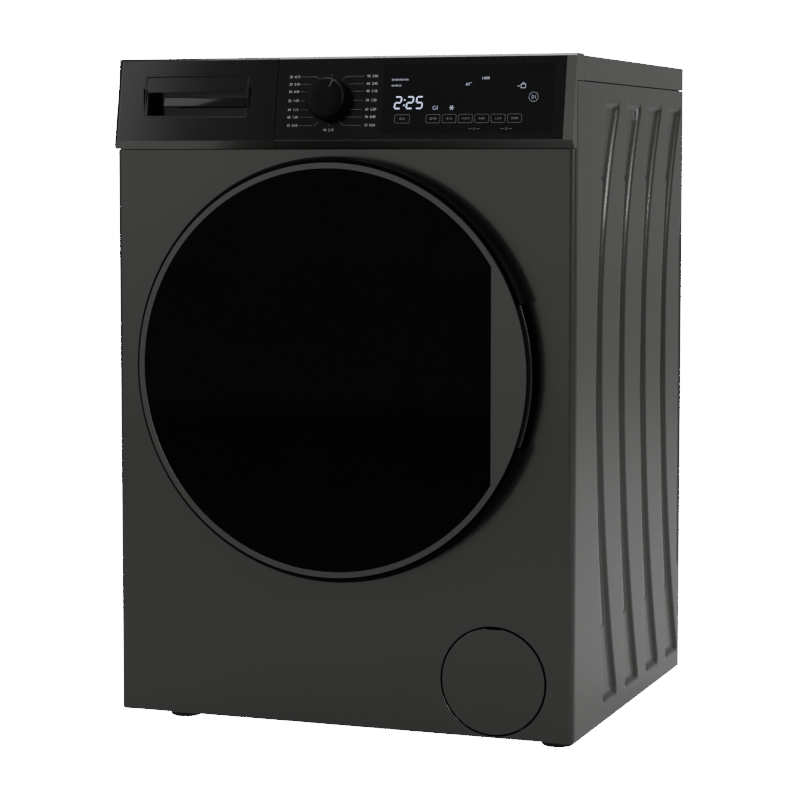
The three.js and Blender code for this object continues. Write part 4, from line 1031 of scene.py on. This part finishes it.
fit("panel_rear", soften(copied("rear_panel"), 0.3, 2), "cabinet", zinc_plate, "rear_panel",
    weighted=True)
low, high = box_mm("rear_cover")


def cover_hollow(x, z):
    edge = min(x - low.x, high.x - x, z - low.z, high.z - z)
    deep = 5.6 * ease((edge - 12.0) / 9.0)
    for k in range(5):
        zc = low.z + 95 + k * 80
        deep -= long_rib(x, z, low.x + 42, high.x - 42, zc - 13, zc + 13, 3.0, 9.0)
    return deep


bm = pressed_sheet(low, high, high.y - 7.0, 1, cover_hollow, 3.0)
cover = fit("belt_cover", bm, "cabinet", zinc_plate, "rear_cover", crease=50.0)
thicken(cover, PANEL_GAUGE)

screws = bmesh.new()
spots = [(x, z, 275.4) for x in (low.x + 6.5, high.x - 6.5) for z in (180, 300, 420, 540, 660)]
spots += [(x, z, 274.6) for x in (-280, 280) for z in (60, 250, 440, 630, 790)]
for x, z, y in spots:
    screw = turned([(0, y - 2.4), (1.6, y - 2.4), (1.6, y - 1.0), (4.2, y - 1.0), (4.2, y + 0.2),
                    (3.4, y + 1.3),
                    (1.2, y + 1.9), (0, y + 1.9)], 20, (x, z), closed=False)
    slot = block(x - 2.2, x + 2.2, y + 1.0, y + 3, z - 0.45, z + 0.45)
    screw = carved(screw, slot, block(x - 0.45, x + 0.45, y + 1.0, y + 3, z - 2.2, z + 2.2))
    join(screws, screw)
fit("rear_screws", screws, "cabinet", bright_steel, crease=35.0)
caps = bmesh.new()
for x, z in ((-232, 330), (232, 330), (-232, 560), (232, 560)):
    join(caps, turned([(0, 272.6), (9, 272.6), (9, 273.6), (15, 273.6), (15, 275.2), (13.4, 276.6), (6, 277.2),
                       (5.4, 275.6), (0, 275.4)], 48, (x, z), closed=False))
fit("transit_plugs", caps, "cabinet", grey_moulding, crease=35.0)
bm = soften(copied("inlet_valve"), 0.7, 2)
fit("water_inlet", bm, "cabinet", white_moulding, "inlet_valve", weighted=True)
thread = bmesh.new()
for k in range(5):
    y = 270.0 + k * 2.2
    join(thread, turned([(12.2, y - 0.7), (13.4, y - 0.1), (13.4, y + 0.3), (12.2, y + 0.9)], 48, (-230, 772)))
fit("inlet_thread", thread, "cabinet", white_moulding, crease=35.0)
fit("hose_outlet", soften(copied("drain_outlet"), 0.6, 2), "cabinet", grey_moulding,
    "drain_outlet", weighted=True)
fit("cable_gland", soften(copied("mains_gland"), 0.7, 2), "cabinet", matt_black,
    "mains_gland", weighted=True)

# ---------------------------------------------------------------------------
# Base: a welded zinc frame on four screw feet, each with a rubber pad, and
# the drain pump with its filter behind a round painted cover.
# ---------------------------------------------------------------------------
fit("base_rails", soften(copied("base_frame"), 0.5, 2), "cabinet", zinc_plate, "base_frame",
    weighted=True)
for node, body in (("foot_front_left", "foot_fl"), ("foot_front_right", "foot_fr"),
                   ("foot_rear_left", "foot_rl"), ("foot_rear_right", "foot_rr")):
    low, high = box_mm(node)
    middle = (low + high) / 2
    bm = bmesh.new()
    outline = [(0, 0), (18.6, 0), (20, 1.4), (20, 5.6), (18.8, 7.0), (13.5, 7.6), (11.4, 9.6), (11, 12),
               (11, 20.2),
               (10.2, 21), (5, 21)]
    for k in range(24):
        outline += [(5.0, 21.6 + 1.5 * k), (4.3, 22.3 + 1.5 * k)]
    outline += [(4.0, 57.6), (3.4, 58), (0, 58)]
    verts = [bm.verts.new((r, 0, z)) for r, z in outline]
    edges = [bm.edges.new(pair) for pair in zip(verts, verts[1:])]
    bmesh.ops.spin(bm, geom=verts + edges, cent=(0, 0, 0), axis=(0, 0, 1), angle=2 * math.pi, steps=48,
                   use_merge=True)
    bmesh.ops.remove_doubles(bm, verts=bm.verts, dist=0.001)
    bmesh.ops.recalc_face_normals(bm, faces=bm.faces)
    for v in bm.verts:
        far = math.hypot(v.co.x, v.co.y)
        if 12.5 < v.co.z < 20.5 and far > 10:
            turn = math.atan2(v.co.y, v.co.x) % (math.pi / 3) - math.pi / 6
            flat = 9.6 / math.cos(turn)
            v.co.x, v.co.y = v.co.x * flat / far, v.co.y * flat / far
    bmesh.ops.translate(bm, vec=(middle.x, middle.y, 0), verts=bm.verts)
    fit("level_" + node, bm, body, matt_black, node, crease=35.0)
fit("pump_body", soften(copied("drain_pump"), 1.0, 2), "cabinet", grey_moulding, "drain_pump",
    weighted=True)
fit("filter_plug", soften(copied("filter_cap"), 1.0, 3), "drain_filter", grey_moulding,
    "filter_cap", weighted=True)
fit("filter_cup", soften(copied("filter_frame"), 0.5, 2), "cabinet", matt_black,
    "filter_frame", weighted=True)
bm = behind((0, -0.6), (63.6, -0.6), (64.7, -0.2), (65.0, 0.5), (65.0, 1.6), (0, 1.6),
            segments=160, closed=False, centre=FILTER)
notch = block(FILTER[0] - 9, FILTER[0] + 9, depth_of(-3), depth_of(4), FILTER[1] + 63.3, FILTER[1] + 80)
soften(notch, 1.2, 3, chosen=lambda e: max(v.co.z for v in e.verts) < FILTER[1] + 64)
bm = carved(bm, notch)
soften(bm, 0.3, 2, angle=50.0)
fit("filter_lid", bm, "flap", graphite_paint, "filter_cover", weighted=True)
bm = block(FILTER[0] - 30, FILTER[0] + 30, depth_of(1.2), depth_of(3), 36.2, 40.8)
bmesh.ops.create_cone(bm, cap_ends=True, segments=24, radius1=1.6, radius2=1.6, depth=77,
                      matrix=Matrix.Translation((FILTER[0], depth_of(3), 37))
                      @ Matrix.Rotation(math.pi / 2, 4, "Y"))
fit("filter_lid_hinge", bm, "flap", matt_black)
